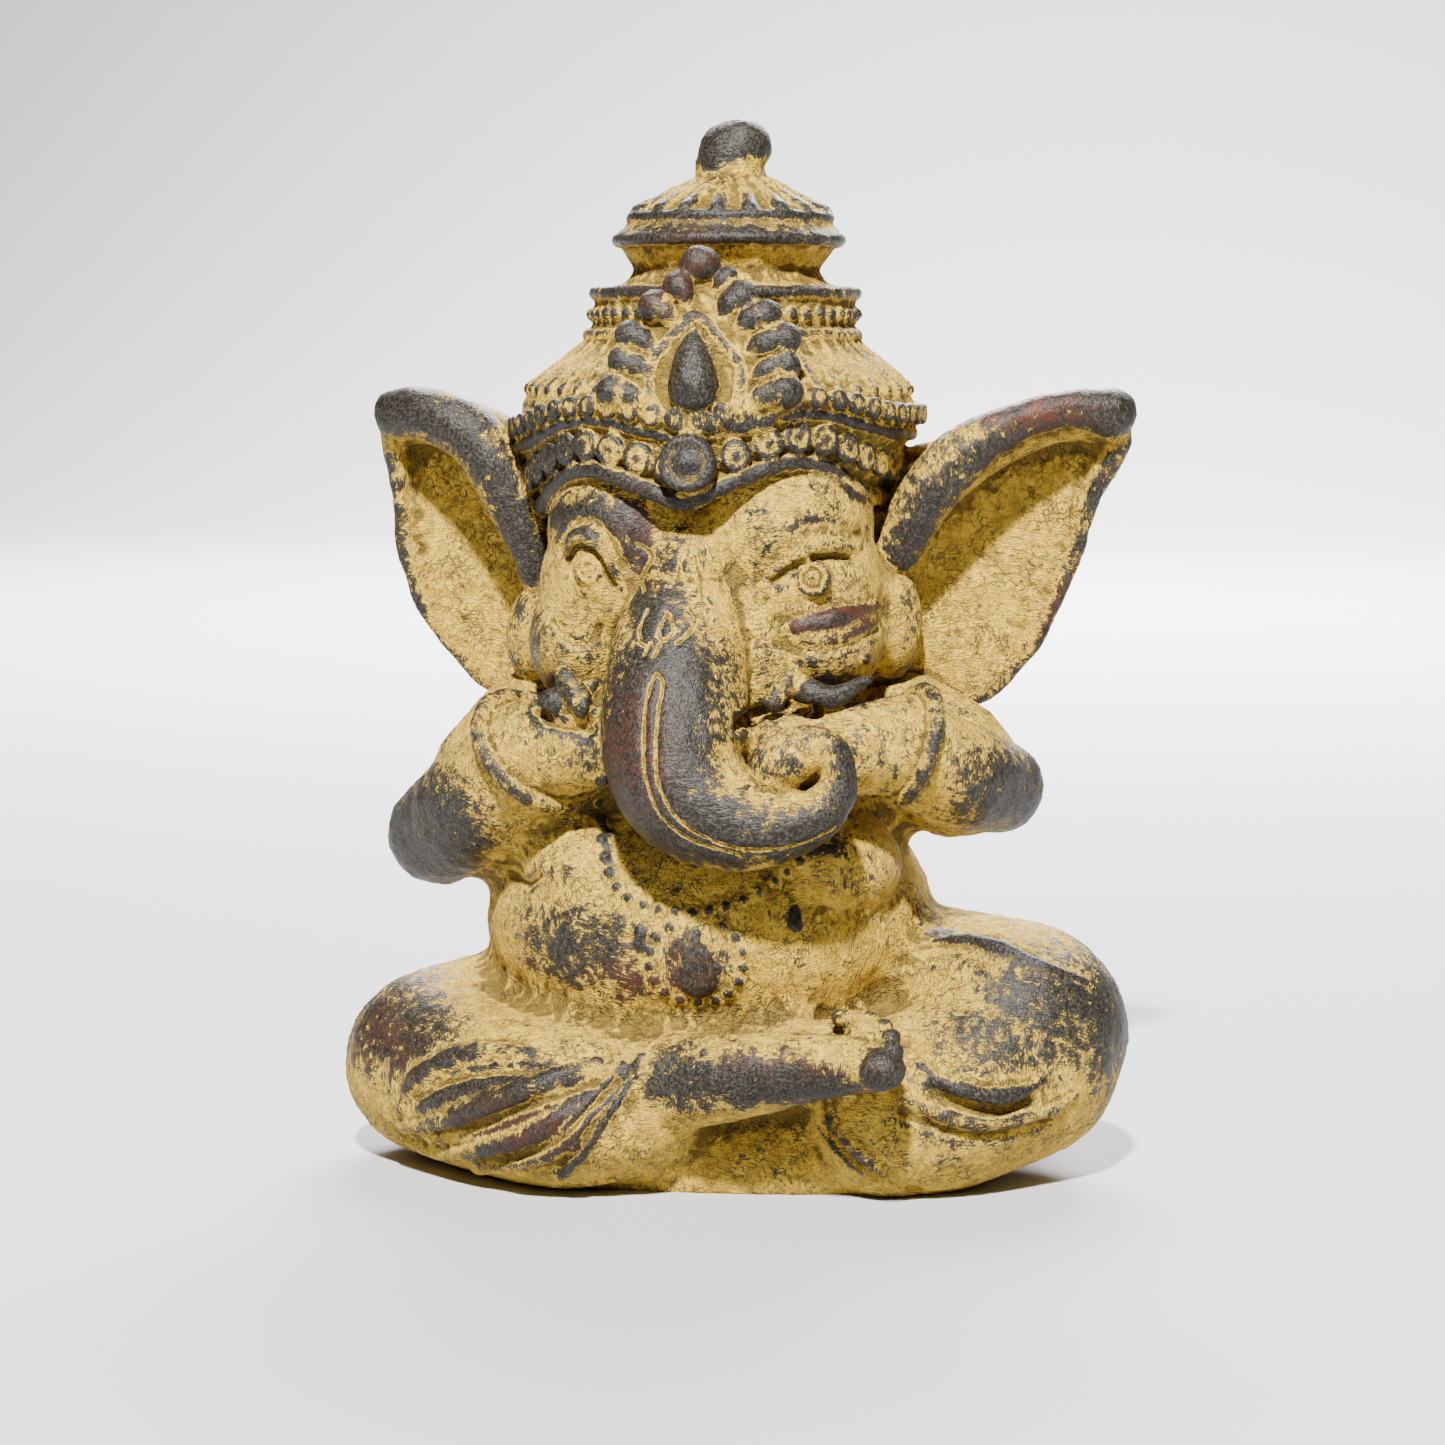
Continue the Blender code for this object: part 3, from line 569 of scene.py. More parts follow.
def bead_height(angle):
    """Height of the row of big beads."""
    return rim_height(angle, RIM_HIGH + 5.6, 6.5)


def rosette_height(angle):
    """Height of the row of rosettes, midway between the two ridges."""
    return (rim_height(angle, RIM_LOW, RIM_LOW_RISE) + rim_height(angle, RIM_HIGH, RIM_HIGH_RISE)) / 2


def on_crown(angle, radius, z):
    """A point beside the crown's axis."""
    axis = crown_axis(z)
    return Vector((axis.x + radius * sin(angle), axis.y - radius * cos(angle), z))


def outward(angle, z):
    """The direction away from the crown's axis."""
    return on_crown(angle, 1, z) - on_crown(angle, 0, z)


def crown(clay):
    """The turned tiers of the crown, with its arched lower edge."""
    turns = [2 * pi * i / 72 for i in range(72)]
    rings = [[on_crown(a, rim_radius(a, 0) - 9, rim_height(a, RIM_LOW, RIM_LOW_RISE) - 1) for a in turns]]
    rings.append([on_crown(a, rim_radius(a, 0), rim_height(a, RIM_LOW, RIM_LOW_RISE)) for a in turns])
    rings.append([on_crown(a, RIM_RADIUS + 1, rim_height(a, RIM_HIGH, RIM_HIGH_RISE)) for a in turns])
    profile = [(57, 217.5), (54.5, 222.5), (48.5, 229), (42, 233.5), (38, 236.8), (37.6, 249.5),
               (29, 252.5), (26.6, 256), (31.4, 263), (32.2, 266.8), (27, 271.6), (18, 278), (10, 282)]
    for radius, z in profile:
        rings.append([on_crown(a, radius, z) for a in turns])
    skin(clay, rings)
    limb(clay, [(0.6, 4, 277, 10.6), (-0.6, 4, 284, 10.2), (-0.2, 4, 289, 9.8)],
         face=Vector((1.0, 0.0, 0.0)))
    ball(clay, (1.4, 4, 290.8), (10.6, 9.6, 8.8), (0, -20, 0))


def crown_carving(clay):
    """Rim ridges, rows of beads and rosettes, and radial petals."""
    whole = [2 * pi * i / 48 for i in range(50)]
    for base, rise, lift, thick in ((RIM_LOW, RIM_LOW_RISE, 0.0, 2.6), (RIM_HIGH, RIM_HIGH_RISE, 1.0, 1.9)):
        path = []
        for angle in whole:
            z = rim_height(angle, base, rise)
            path.append((*on_crown(angle, rim_radius(angle, lift) + 1, z), thick))
        limb(clay, path, face=Vector((0.0, 0.0, 1.0)))
    for z, radius, thick in ((249.4, 37.6, 1.9), (237.4, 38.8, 1.9), (271, 28.4, 1.7), (264.6, 32, 1.9)):
        path = [(*on_crown(angle, radius, z), thick) for angle in whole]
        limb(clay, path, face=Vector((0.0, 0.0, 1.0)))
    for i in range(PETAL_COUNT):
        angle = 2 * pi * i / PETAL_COUNT
        limb(clay, [(*on_crown(angle, 11, 281.6), 1.2), (*on_crown(angle, 26.5, 272.4), 2.8)])
    for i in range(BEAD_COUNT):
        angle = 2 * pi * (i + 0.5) / BEAD_COUNT
        z = bead_height(angle)
        ball(clay, on_crown(angle, RIM_RADIUS + 2.2, z), (BEAD_RADIUS, BEAD_RADIUS, BEAD_RADIUS))
    for i in range(ROSETTE_COUNT):
        angle = 2 * pi * (i + 0.5) / ROSETTE_COUNT
        z = rosette_height(angle)
        ball(clay, on_crown(angle, rim_radius(angle, 0.5) + 0.6, z), (3.3, 3.3, 3.9))


def plaque(clay):
    """The leaf-shaped plaque on the crown's front, with its jewel, lobes and medallion."""
    limb(clay, [(-0.8, -54, 214, 21), (-0.8, -51, 226, 23), (-0.8, -48, 237, 20.5),
                (-1.2, -45, 246, 14.5), (-1.8, -42, 254, 7)], thin=0.22, blunt=0.25)
    lobes = [(-24.6, -54, 222, 5.2), (-22.4, -52, 230, 4.6), (-20.6, -50.5, 237, 4.6),
             (-14, -49, 245, 4.8), (-7.6, -47, 250.8, 4.6), (23, -54, 222, 5),
             (22.8, -52, 229.2, 4.2), (22.4, -50.5, 236.6, 4.6), (17, -49, 242.8, 4.6),
             (9.6, -47, 247.6, 5), (5.6, -44, 253.6, 2.8)]
    for x, y, z, radius in lobes:
        ball(clay, (x, y, z), (radius, radius, radius))
        limb(clay, [(x, y, z, radius * 0.9), (x * 0.76 - 0.4, y - 1.6, z - 1.4, radius * 0.72),
                    (x * 0.56 - 0.8, y - 1.4, z - 5, radius * 0.42)])
    ball(clay, (-2.2, -44, 257), (5.8, 5.2, 5.2))
    limb(clay, [(-3, -51, 238, 2), (-2.6, -54, 231.4, 5.4), (-2, -56.5, 223, 7.4)])
    border = [(-2.6, -50, 242.4), (-9.6, -51.5, 236), (-14.6, -54, 227), (-12.2, -56.5, 217.4),
              (-2.2, -57.5, 211.6), (8.4, -56.5, 217), (11, -54, 227), (5, -51.5, 236)]
    limb(clay, [(x, y - 0.8, z, 1.9) for x, y, z in border + border[:2]], face=Vector((0.0, 0.0, 1.0)))
    ball(clay, (-3, -60.5, 202.6), (8.2, 4.6, 8.2))


def tusks(clay):
    """The short rubbed tusks and the folds of lip they grow from."""
    limb(clay, [(-30, -52, 138, 4.4), (-36, -58, 136.4, 4.6), (-41, -60, 136, 4.2)])
    limb(clay, [(-39.5, -56, 147.5, 1.4), (-36.5, -61, 141.6, 3.4), (-31.4, -64, 135.4, 3.8)])
    limb(clay, [(27, -58, 141.6, 4), (32, -61, 139.4, 4), (38, -61, 139.2, 3.2), (46.5, -56, 143.4, 1.4)])
    limb(clay, [(27.5, -59, 148, 1.4), (24.4, -62, 143, 2.6), (21, -64, 137.6, 3)])


def face_carving(clay, tree):
    """Eyelids, irises with their rims, and the ridge of the cheek."""
    ridge(clay, tree, [(-40.4, 175, 1.2), (-37.4, 180.8, 2.1), (-32.8, 182, 2.6), (-28.6, 178.6, 2.5),
                       (-25.6, 172.6, 2.1), (-23.2, 167.2, 1.4)], sink=0.3)
    ridge(clay, tree, [(-38, 170.4, 1), (-33, 166.2, 1.7), (-27.6, 167.8, 1.2)], sink=0.4)
    ridge(clay, tree, [(16, 168.4, 1.2), (20.6, 172.8, 2), (25.4, 176.8, 2.4), (29.6, 179, 2.6),
                       (34.6, 179.8, 2.4), (41, 178, 1.4)], sink=0.3)
    ridge(clay, tree, [(15.4, 166.4, 1.6), (19, 168, 2), (23, 168.6, 1.4)], sink=0.5)
    for x, z, radius in ((-32.2, 172.4, 3.3), (30.2, 170.8, 4.1)):
        y = front_of(tree, x, z)
        ball(clay, (x, y + 1.6, z), (radius + 1, 3.4, radius + 1))
        hoop(clay, (x, y - 1.2, z), FORWARD, radius, 1.2)
        ball(clay, (x, y - 1.4, z), (1.5, 1.4, 1.5))
    ridge(clay, tree, [(22.7, 156.3, 2), (29, 157.5, 3.2), (37, 159.5, 3.2), (45, 162, 2)], sink=0.5)


def cuffs(clay):
    """The flared rings round both forearms."""
    hoop(clay, (-49, -46.5, 121), (0.62, -0.42, 0.6), 18.6, 2.5)
    hoop(clay, (56.5, -44.5, 124), (-0.8, -0.42, 0.3), 16, 2.4)


def jewellery(clay, tree):
    """Necklace, pendant and its beads, nipples and navel rim."""
    strand = through([(-33, 110), (-29.5, 98), (-25, 87), (-17.5, 81.4), (-7, 79.4), (2.5, 79.4),
                      (12, 82), (22, 87.6), (30, 95)])
    travelled = np.concatenate([[0], np.cumsum(np.hypot(*np.diff(strand, axis=0).T))])
    for distance in np.arange(0.0, travelled[-1], 4.6):
        x = float(np.interp(distance, travelled, strand[:, 0]))
        z = float(np.interp(distance, travelled, strand[:, 1]))
        bead(clay, tree, x, z, 1.9)
    ridge(clay, tree, [(0.2, 73, 1.6), (0.2, 68.5, 5), (0.2, 63.4, 7.6), (0.2, 62, 7)], thin=0.6)
    for i in range(15):
        angle = radians(35 + 290 * i / 14) + pi / 2
        bead(clay, tree, 0.2 + 13 * cos(angle), 65.8 + 11.6 * sin(angle), 1.8)
    for x, z in ((-15.2, 71.9), (26.2, 76.8)):
        ridge(clay, tree, [(x, z - 2, 2.2), (x, z + 2, 2.2)], sink=0.55)


def drapery(clay, tree):
    """Folds of the cloth over both legs."""
    folds = [
        [(-85.7, 19.7, 1.5), (-80.4, 28.8, 3), (-69.4, 35.7, 3.6), (-54.7, 39.7, 3.2), (-43.8, 40.1, 1.8)],
        [(-86.8, 13.5, 1.8), (-71.9, 18.4, 3.2), (-56.1, 25.9, 4), (-40.2, 33, 3.6), (-25.4, 38.7, 2)],
        [(-87.8, 9.9, 1.6), (-75.3, 8.1, 2.6), (-62.1, 12.2, 2.8), (-46.7, 18.1, 3), (-35.1, 24.5, 3),
         (-20, 38, 1.6)],
        [(-62.2, 4.8, 2), (-46.6, 10.8, 3), (-34.6, 18.3, 3.6), (-27.6, 26.3, 3.4), (-18, 38, 2)],
        [(-38.2, 5, 2), (-30.1, 15, 3), (-22.9, 25.8, 3), (-17.2, 33.8, 2.4), (-13.2, 40.4, 1.6)],
        [(62.4, 38.5, 1.4), (67.8, 34.8, 2.2), (75, 31.8, 2.8), (82.9, 30.1, 3.2), (89.9, 31, 2.6),
         (95, 33.4, 1.4)],
        [(59.1, 30.3, 1.6), (70, 25.4, 2.8), (81.9, 23.4, 3), (95, 24.6, 2.6), (103.9, 28.1, 1.6)],
        [(38.2, 24, 2), (44.4, 17.3, 2.6), (49.9, 12, 2.6), (55.7, 6, 2.2)],
        [(63.8, 66, 1.4), (73.4, 67.5, 2.4), (83.1, 66.5, 2.4), (94.3, 62.6, 2), (106, 58, 1.4)],
    ]
    for rows in folds:
        ridge(clay, tree, rows, sink=0.45)


def toes(clay):
    """The big toe and the four small ones stacked behind it."""
    ball(clay, (54, -93.5, 42.4), (7, 5.8, 5.6))
    for x, y, z, radius in ((57, -91.5, 47, 3), (56, -88, 49.8, 2.9), (53.6, -84.5, 52, 2.7),
                            (50, -81, 53.4, 2.5)):
        limb(clay, [(x - 9, y + 5, z - 0.8, radius), (x, y, z, radius)], face=Vector((0.0, 0.0, 1.0)))


def largest(shape):
    """Delete every loose shell but the largest, such as the wall of a sealed hollow."""
    shells = []
    waiting = set(shape.verts)
    while waiting:
        shell = set()
        edge = {waiting.pop()}
        while edge:
            vertex = edge.pop()
            shell.add(vertex)
            for link in vertex.link_edges:
                other = link.other_vert(vertex)
                if other in waiting:
                    waiting.discard(other)
                    edge.add(other)
        shells.append(shell)
    shells.sort(key=len)
    spare = [vertex for shell in shells[:-1] for vertex in shell]
    bmesh.ops.delete(shape, geom=spare, context="VERTS")


def figure():
    """The soft body, the head, the ears and the trunk, as separate meshes."""
    body = Clay()
    for part in (torso, legs, foot, arms):
        part(body)
    body = pressed(body, BODY_VOXEL, fill=3.5, smooth=8)
    face = Clay()
    head(face)
    limb(face, [(9, -40, 172, 9), (12, -43, 160, 10), (14, -45, 148, 10), (15, -46, 138, 8)])
    face = pressed(face, BODY_VOXEL, fill=4.0, smooth=8)
    fans = Clay()
    ears(fans)
    fans = pressed(fans, BODY_VOXEL, fill=1.0, smooth=5)
    nose = Clay()
    trunk(nose)
    nose = pressed(nose, CROWN_VOXEL, smooth=12)
    return body, face, fans, nose


def crown_rings(clay):
    """Rings round the beads and rosettes, the small beads of the upper band and the dome's petals."""
    for i in range(BEAD_COUNT):
        angle = 2 * pi * (i + 0.5) / BEAD_COUNT
        z = bead_height(angle)
        centre = on_crown(angle, RIM_RADIUS + 4.4, z)
        hoop(clay, centre, outward(angle, z), 2.2, 0.9)
    for i in range(ROSETTE_COUNT):
        angle = 2 * pi * (i + 0.5) / ROSETTE_COUNT
        z = rosette_height(angle)
        centre = on_crown(angle, rim_radius(angle, 0.5) + 2.4, z)
        hoop(clay, centre, outward(angle, z), 3.4, 1.1)
    for i in range(SMALL_BEAD_COUNT):
        angle = 2 * pi * i / SMALL_BEAD_COUNT
        ball(clay, on_crown(angle, 38.2, 243.4), (1.9, 1.9, 1.9))
        limb(clay, [(*on_crown(angle, 40.2, 234.6), 1.2), (*on_crown(angle, 55.4, 222), 1.5)])


def medallion_rings(clay):
    """The ring and boss of the front medallion."""
    hoop(clay, (-3, -63.4, 202.6), (0.0, -1.0, 0.1), 6.4, 1.5)
    ball(clay, (-3, -63.6, 202.6), (3.2, 2.4, 3.2))


def cast():
    """The whole casting as one fine mesh."""
    body, face, fans, nose = figure()
    turned = Clay()
    crown(turned)
    turned = pressed(turned, CROWN_VOXEL, smooth=4)
    carving = Clay()
    for mesh in (body, face, fans, nose, turned):
        carving.add_mesh(mesh)
    crown_carving(carving)
    crown_rings(carving)
    plaque(carving)
    medallion_rings(carving)
    tusks(carving)
    cuffs(carving)
    toes(carving)
    skull = surface(face)
    face_carving(carving, skull)
    chest = surface(body)
    jewellery(carving, chest)
    drapery(carving, chest)
    for x, z, radius in NODULES:
        bead(carving, skull, x, z, radius, sink=0.2)
    for x, z, radius in CHEST_NODULES:
        bead(carving, chest, x, z, radius, sink=0.2)
    return pressed(carving, CAST_VOXEL, smooth=3)


def coordinates(mesh):
    """The mesh's points in shares, and its unit normals."""
    points = np.empty(len(mesh.vertices) * 3, np.float32)
    normals = np.empty(len(mesh.vertices) * 3, np.float32)
    mesh.vertices.foreach_get("co", points)
    mesh.vertices.foreach_get("normal", normals)
    return points.reshape(-1, 3) / SHARE, normals.reshape(-1, 3)


def nearness(points, path, width):
    """How near each point is to a path: 1 on it, falling smoothly to 0 a width away."""
    near = np.zeros(len(points))
    for start, stop in zip(path, path[1:]):
        low = np.minimum(start, stop) - width
        high = np.maximum(start, stop) + width
        inside = np.nonzero(np.all((points > low) & (points < high), axis=1))[0]
        if len(inside) == 0:
            continue
        run = stop - start
        offset = points[inside] - start
        along = np.clip(offset @ run / max(run @ run, 1e-9), 0, 1)
        distance = np.linalg.norm(offset - along[:, None] * run, axis=1)
        share = np.clip(1 - distance / width, 0, 1)
        near[inside] = np.maximum(near[inside], share * share * (3 - 2 * share))
    return near


def laid(tree, rows):
    """A smooth path laid on a surface through rows of x and z."""
    return np.array([(x, front_of(tree, x, z), z) for x, z in through(rows).tolist()])


def grooved(mesh):
    """Cut the creases and the lines of the trunk and its root, and keep where the lines run."""
    points, normals = coordinates(mesh)
    tree = surface(mesh)
    sunk = np.zeros(len(points))
    for rows, width, depth in CREASES:
        sunk = np.maximum(sunk, depth * nearness(points, laid(tree, rows), width))
    cut = np.zeros(len(points))
    for rows in TRUNK_LINES + ROOT_MARKS:
        cut = np.maximum(cut, nearness(points, laid(tree, rows), LINE_WIDTH))
    points = points - normals * (sunk + LINE_DEPTH * cut)[:, None]
    mesh.vertices.foreach_set("co", (points * SHARE).astype(np.float32).ravel())
    stored(mesh, "line", cut)


def stored(mesh, name, values):
    """Keep one number per point on the mesh, for its material."""
    layer = mesh.attributes.new(name, "FLOAT", "POINT")
    layer.data.foreach_set("value", values.astype(np.float32))


def curvature(mesh, rounds):
    """How much each point stands proud of its neighbours, widened over rounds, in shares."""
    points, normals = coordinates(mesh)
    ends = np.empty(len(mesh.edges) * 2, np.int32)
    mesh.edges.foreach_get("vertices", ends)
    ends = ends.reshape(-1, 2)
    count = np.bincount(ends.ravel(), minlength=len(points)).astype(float)
    flat = points.astype(float)
    for _ in range(rounds):
        total = np.zeros_like(flat)
        for axis in range(3):
            total[:, axis] = np.bincount(ends[:, 0], flat[ends[:, 1], axis], len(points))
            total[:, axis] += np.bincount(ends[:, 1], flat[ends[:, 0], axis], len(points))
        flat = 0.5 * flat + 0.5 * total / count[:, None]
    return np.einsum("ij,ij->i", points - flat, normals)


def rim_strokes():
    """The strokes along the two ridges of the crown's band."""
    strokes = []
    for base, rise, lift, width in ((RIM_LOW, RIM_LOW_RISE, 0.0, 3.6), (RIM_HIGH, RIM_HIGH_RISE, 1.0, 3.0)):
        rows = []
        for angle in np.linspace(radians(-85), radians(85), 25):
            z = rim_height(angle, base, rise)
            rows.append((on_crown(angle, rim_radius(angle, lift), z).x, z))
        strokes.append((rows, width, RIM_RUB))
    return strokes


def patches(points, rows):
    """Soft-edged patches seen from the front, the strongest at each point."""
    value = np.zeros(len(points))
    for x, z, wide, high, strength, deepest in rows:
        reach = np.hypot((points[:, 0] - x) / wide, (points[:, 2] - z) / high)
        fade = np.clip((deepest - points[:, 1]) / PATCH_FADE + 1, 0, 1)
        value = np.maximum(value, strength * np.clip(PATCH_EDGE - reach, 0, 1) * fade)
    return value


def sheltered(mesh, tree):
    """The share of the space before each point that the casting itself closes off, from 0 to 1; it sets
    where shade is painted.
    """
    points, normals = coordinates(mesh)
    spread = []
    for i in range(SHELTER_RAYS):
        height = (i + 0.5) / SHELTER_RAYS
        turn = i * pi * (3 - sqrt(5))
        side = sqrt(1 - height * height)
        spread.append((side * cos(turn), side * sin(turn), height))
    spread = np.array(spread)
    aside = np.cross(normals, ASKEW)
    aside /= np.linalg.norm(aside, axis=1)[:, None]
    beside = np.cross(normals, aside)
    start = points + normals * SHELTER_LIFT
    closed = np.zeros(len(points))
    for across, along, out in spread:
        ways = aside * across + beside * along + normals * out
        hits = [tree.ray_cast(Vector(place), Vector(way), SHELTER_REACH)[0] is not None
                for place, way in zip(start.tolist(), ways.tolist())]
        closed += np.array(hits, float)
    return closed / SHELTER_RAYS


def wear_and_painted_shade(mesh):
    """Keep where the finish is rubbed or reddish, and how closed off each point is, which sets painted
    shade.
    """
    points, _ = coordinates(mesh)
    tree = surface(mesh)
    rub = patches(points, RUBBED)
    for rows, width, strength in STROKES + rim_strokes():
        rub = np.maximum(rub, PATCH_EDGE * strength * nearness(points, laid(tree, rows), width))
    rub = rub - patches(points, KEPT)
    small = curvature(mesh, SMALL_ROUNDS) * SMALL_PROUD
    broad = np.clip(curvature(mesh, BROAD_ROUNDS), -2, 0.3) * BROAD_PROUD
    above = np.clip((points[:, 2] - WEAR_START) / WEAR_FADE, 0, 1)
    stored(mesh, "rub", rub)
    # Painted shade: how far each point is closed off by the casting, later darkened into the colour
    stored(mesh, "occlusion_shade", sheltered(mesh, tree))
    stored(mesh, "red", patches(points, REDDISH))
    stored(mesh, "proud", np.clip(small + broad, -1, 1) * above)


def thinned(mesh, triangles):
    """The same surface, uneven to the touch, with fewer triangles, finest where it bends."""
    block = bpy.data.objects.new("block", mesh)
    bpy.context.scene.collection.objects.link(block)
    for name, size, depth in HAND_MARKS:
        marks = bpy.data.textures.new(name, "CLOUDS")
        marks.noise_scale = size * SHARE
        marks.noise_depth = 2
        press = block.modifiers.new(name, "DISPLACE")
        press.texture = marks
        press.texture_coords = "LOCAL"
        press.strength = depth * SHARE
    thin = block.modifiers.new("thin", "DECIMATE")
    thin.ratio = triangles / (2 * len(mesh.polygons))
    result = evaluated(block)
    bpy.data.objects.remove(block)
    return result


def stood(mesh):
    """Keep the one outer shell and cut it flat at Z = 0."""
    shape = bmesh.new()
    shape.from_mesh(mesh)
    largest(shape)
    parts = shape.verts[:] + shape.edges[:] + shape.faces[:]
    bmesh.ops.bisect_plane(shape, geom=parts, plane_co=(0, 0, 0), plane_no=(0, 0, 1), clear_inner=True)
    rim = [edge for edge in shape.edges if edge.is_boundary]
    bmesh.ops.triangle_fill(shape, use_beauty=True, use_dissolve=False, edges=rim, normal=(0, 0, -1))
    result = bpy.data.meshes.new("statue_skin")
    shape.to_mesh(result)
    shape.free()
    return result


def centred(mesh):
    """Centre the skin on the Z axis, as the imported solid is."""
    points = coordinates(mesh)[0]
    middle = (points.min(axis=0) + points.max(axis=0)) / 2
    middle[2] = 0
    mesh.vertices.foreach_set("co", ((points - middle) * SHARE).astype(np.float32).ravel())


class Nodes:
    """Short calls for a material's node tree."""

    def __init__(self, material):
        material.use_nodes = True
        self.tree = material.node_tree

    def make(self, kind, inputs=None, **settings):
        """A node with its settings and its inputs, each a value or another node's output."""
        node = self.tree.nodes.new("ShaderNode" + kind)
        for name, value in settings.items():
            setattr(node, name, value)
        for name, value in (inputs or {}).items():
            socket = node.inputs[name]
            if isinstance(value, bpy.types.NodeSocket):
                self.tree.links.new(value, socket)
            else:
                socket.default_value = value
        return node

    def math(self, operation, *values, clamp=False):
        """The result of one sum."""
        node = self.make("Math", dict(enumerate(values)), operation=operation, use_clamp=clamp)
        return node.outputs[0]

    def stretched(self, place, scale, turn):
        """Places turned by radians and scaled along each axis."""
        inputs = {"Vector": place, "Scale": scale, "Rotation": turn}
        return self.make("Mapping", inputs).outputs["Vector"]

    def noise(self, place, scale, detail=4.0, roughness=0.6):
        """Noise from 0 to 1, scale in cycles a metre."""
        inputs = {"Vector": place, "Scale": scale, "Detail": detail, "Roughness": roughness}
        return self.make("TexNoise", inputs).outputs["Fac"]

    def ramp(self, value, low, high):
        """0 below low, 1 above high, smooth between."""
        inputs = {"Value": value, "From Min": low, "From Max": high}
        return self.make("MapRange", inputs, interpolation_type="SMOOTHSTEP").outputs["Result"]

    def mix(self, share, first, second):
        """A blend of two colours."""
        inputs = {"Factor": share}
        node = self.make("Mix", inputs, data_type="RGBA")
        for index, value in ((6, first), (7, second)):
            if isinstance(value, bpy.types.NodeSocket):
                self.tree.links.new(value, node.inputs[index])
            else:
                node.inputs[index].default_value = value
        return node.outputs[2]

    def field(self, name):
        """A number kept on the mesh."""
        return self.make("Attribute", attribute_name=name).outputs["Fac"]


def patina():
    """Dark casting under a brushed ochre wash that is rubbed off the high points, with shade painted into
    creases and hollows.
    """
    material = bpy.data.materials.new("ochre_patina_painted_shade")
    n = Nodes(material)
    shader = n.tree.nodes["Principled BSDF"]
    place = n.make("TexCoord").outputs["Object"]
    rub = n.field("rub")
    proud = n.field("proud")
    line = n.field("line")

    # Noises: clouds of three sizes, and brush streaks that run two ways
    broad = n.noise(place, BROAD_SCALE)
    medium = n.noise(place, MEDIUM_SCALE)
    fine = n.noise(place, FINE_SCALE, detail=3.0, roughness=0.7)
    drift = n.make("TexNoise", {"Vector": place, "Scale": DRIFT_SCALE, "Detail": 2.0}).outputs["Color"]
    drift = n.make("VectorMath", {0: drift, 1: (DRIFT, DRIFT, DRIFT)}, operation="MULTIPLY").outputs[0]
    wandering = n.make("VectorMath", {0: place, 1: drift}, operation="ADD").outputs[0]
    across = n.stretched(wandering, (0.15, 1.0, 1.0), (0.0, 0.35, 0.2))
    across = n.noise(across, ACROSS_SCALE, detail=2.0)
    down = n.stretched(wandering, (1.0, 1.0, 0.16), (0.2, 0.55, 0.0))
    down = n.noise(down, DOWN_SCALE, detail=2.0)
    turn = n.ramp(n.noise(place, TURN_SCALE, detail=1.0), 0.42, 0.58)
    streak = n.math("ADD", n.math("MULTIPLY", across, turn),
                    n.math("MULTIPLY", down, n.math("SUBTRACT", 1.0, turn)))

    # Wrinkles of the dried wash: thin winding marks
    worm = n.noise(wandering, WRINKLE_SCALE, detail=2.0, roughness=0.5)
    worm = n.math("ABSOLUTE", n.math("SUBTRACT", worm, 0.5))
    worm = n.math("SUBTRACT", 1.0, n.ramp(worm, 0.010, 0.060))
    patchy = n.ramp(n.noise(place, WRINKLE_PATCH_SCALE, detail=3.0), 0.42, 0.62)
    wrinkle = n.math("MULTIPLY", worm, n.math("MULTIPLY_ADD", patchy, 0.7, 0.3))
    fleck = n.ramp(n.math("MULTIPLY_ADD", streak, 0.5, n.math("MULTIPLY", fine, 0.5)), 0.53, 0.64)

    # Where the casting is bare
    speckle = n.math("ADD", n.math("MULTIPLY", fine, 0.35), n.math("MULTIPLY", streak, 0.65))
    speckle = n.math("MULTIPLY_ADD", speckle, 4.0, -2.0)
    mottle = n.math("MULTIPLY_ADD", n.math("ADD", broad, medium), 1.5, -1.5)
    bare = n.math("MULTIPLY_ADD", proud, PROUD_SHARE, rub)
    bare = n.math("MULTIPLY_ADD", mottle, MOTTLE_SHARE, bare)
    bare = n.math("MULTIPLY_ADD", speckle, SPECKLE_SHARE, bare)
    bare = n.math("MULTIPLY_ADD", wrinkle, WRINKLE_SHARE, bare)
    bare = n.math("SUBTRACT", bare, n.math("MULTIPLY", line, LINE_SHARE))
    bare = n.ramp(bare, BARE_START, BARE_FULL)

    # The wash: two ochres, moss-grey wrinkles and flecks, and dark brown painted shade in creases and
    # closed-off places
    ochre = n.mix(n.ramp(medium, 0.36, 0.62), OCHRE_DEEP, OCHRE_LIGHT)
    ochre = n.mix(n.math("MULTIPLY", wrinkle, 0.78), ochre, MOSS_GREY)
    ochre = n.mix(n.math("MULTIPLY", fleck, 0.68), ochre, MOSS_GREY)
    # Painted shade: creases that sink below their neighbours are darkened
    hollow = n.ramp(n.math("MULTIPLY", proud, -1.0), 0.15, 0.6)
    ochre = n.mix(n.math("MULTIPLY", hollow, 0.72), ochre, PAINTED_SHADE_BROWN)
    # Painted shade where the casting closes off the space before a point, broken up a little by noise
    occlusion_shade = n.math("MULTIPLY_ADD", n.math("SUBTRACT", medium, 0.5), 0.4, n.field("occlusion_shade"))
    occlusion_shade = n.math("MULTIPLY", n.ramp(occlusion_shade, 0.18, 0.72), 0.92)
    ochre = n.mix(occlusion_shade, ochre, PAINTED_SHADE_BROWN)

    # The casting: dark to grey grain, reddish in places
    red = n.math("MULTIPLY", n.field("red"), n.ramp(medium, 0.35, 0.6), clamp=True)
    grain = n.math("MULTIPLY_ADD", fine, 0.6, n.math("MULTIPLY", streak, 0.4))
    dark = n.mix(n.ramp(grain, 0.43, 0.64), CAST_DARK, CAST_GREY)
    dark = n.mix(red, dark, CAST_RED)
    colour = n.mix(bare, ochre, dark)
    n.tree.links.new(colour, shader.inputs["Base Color"])

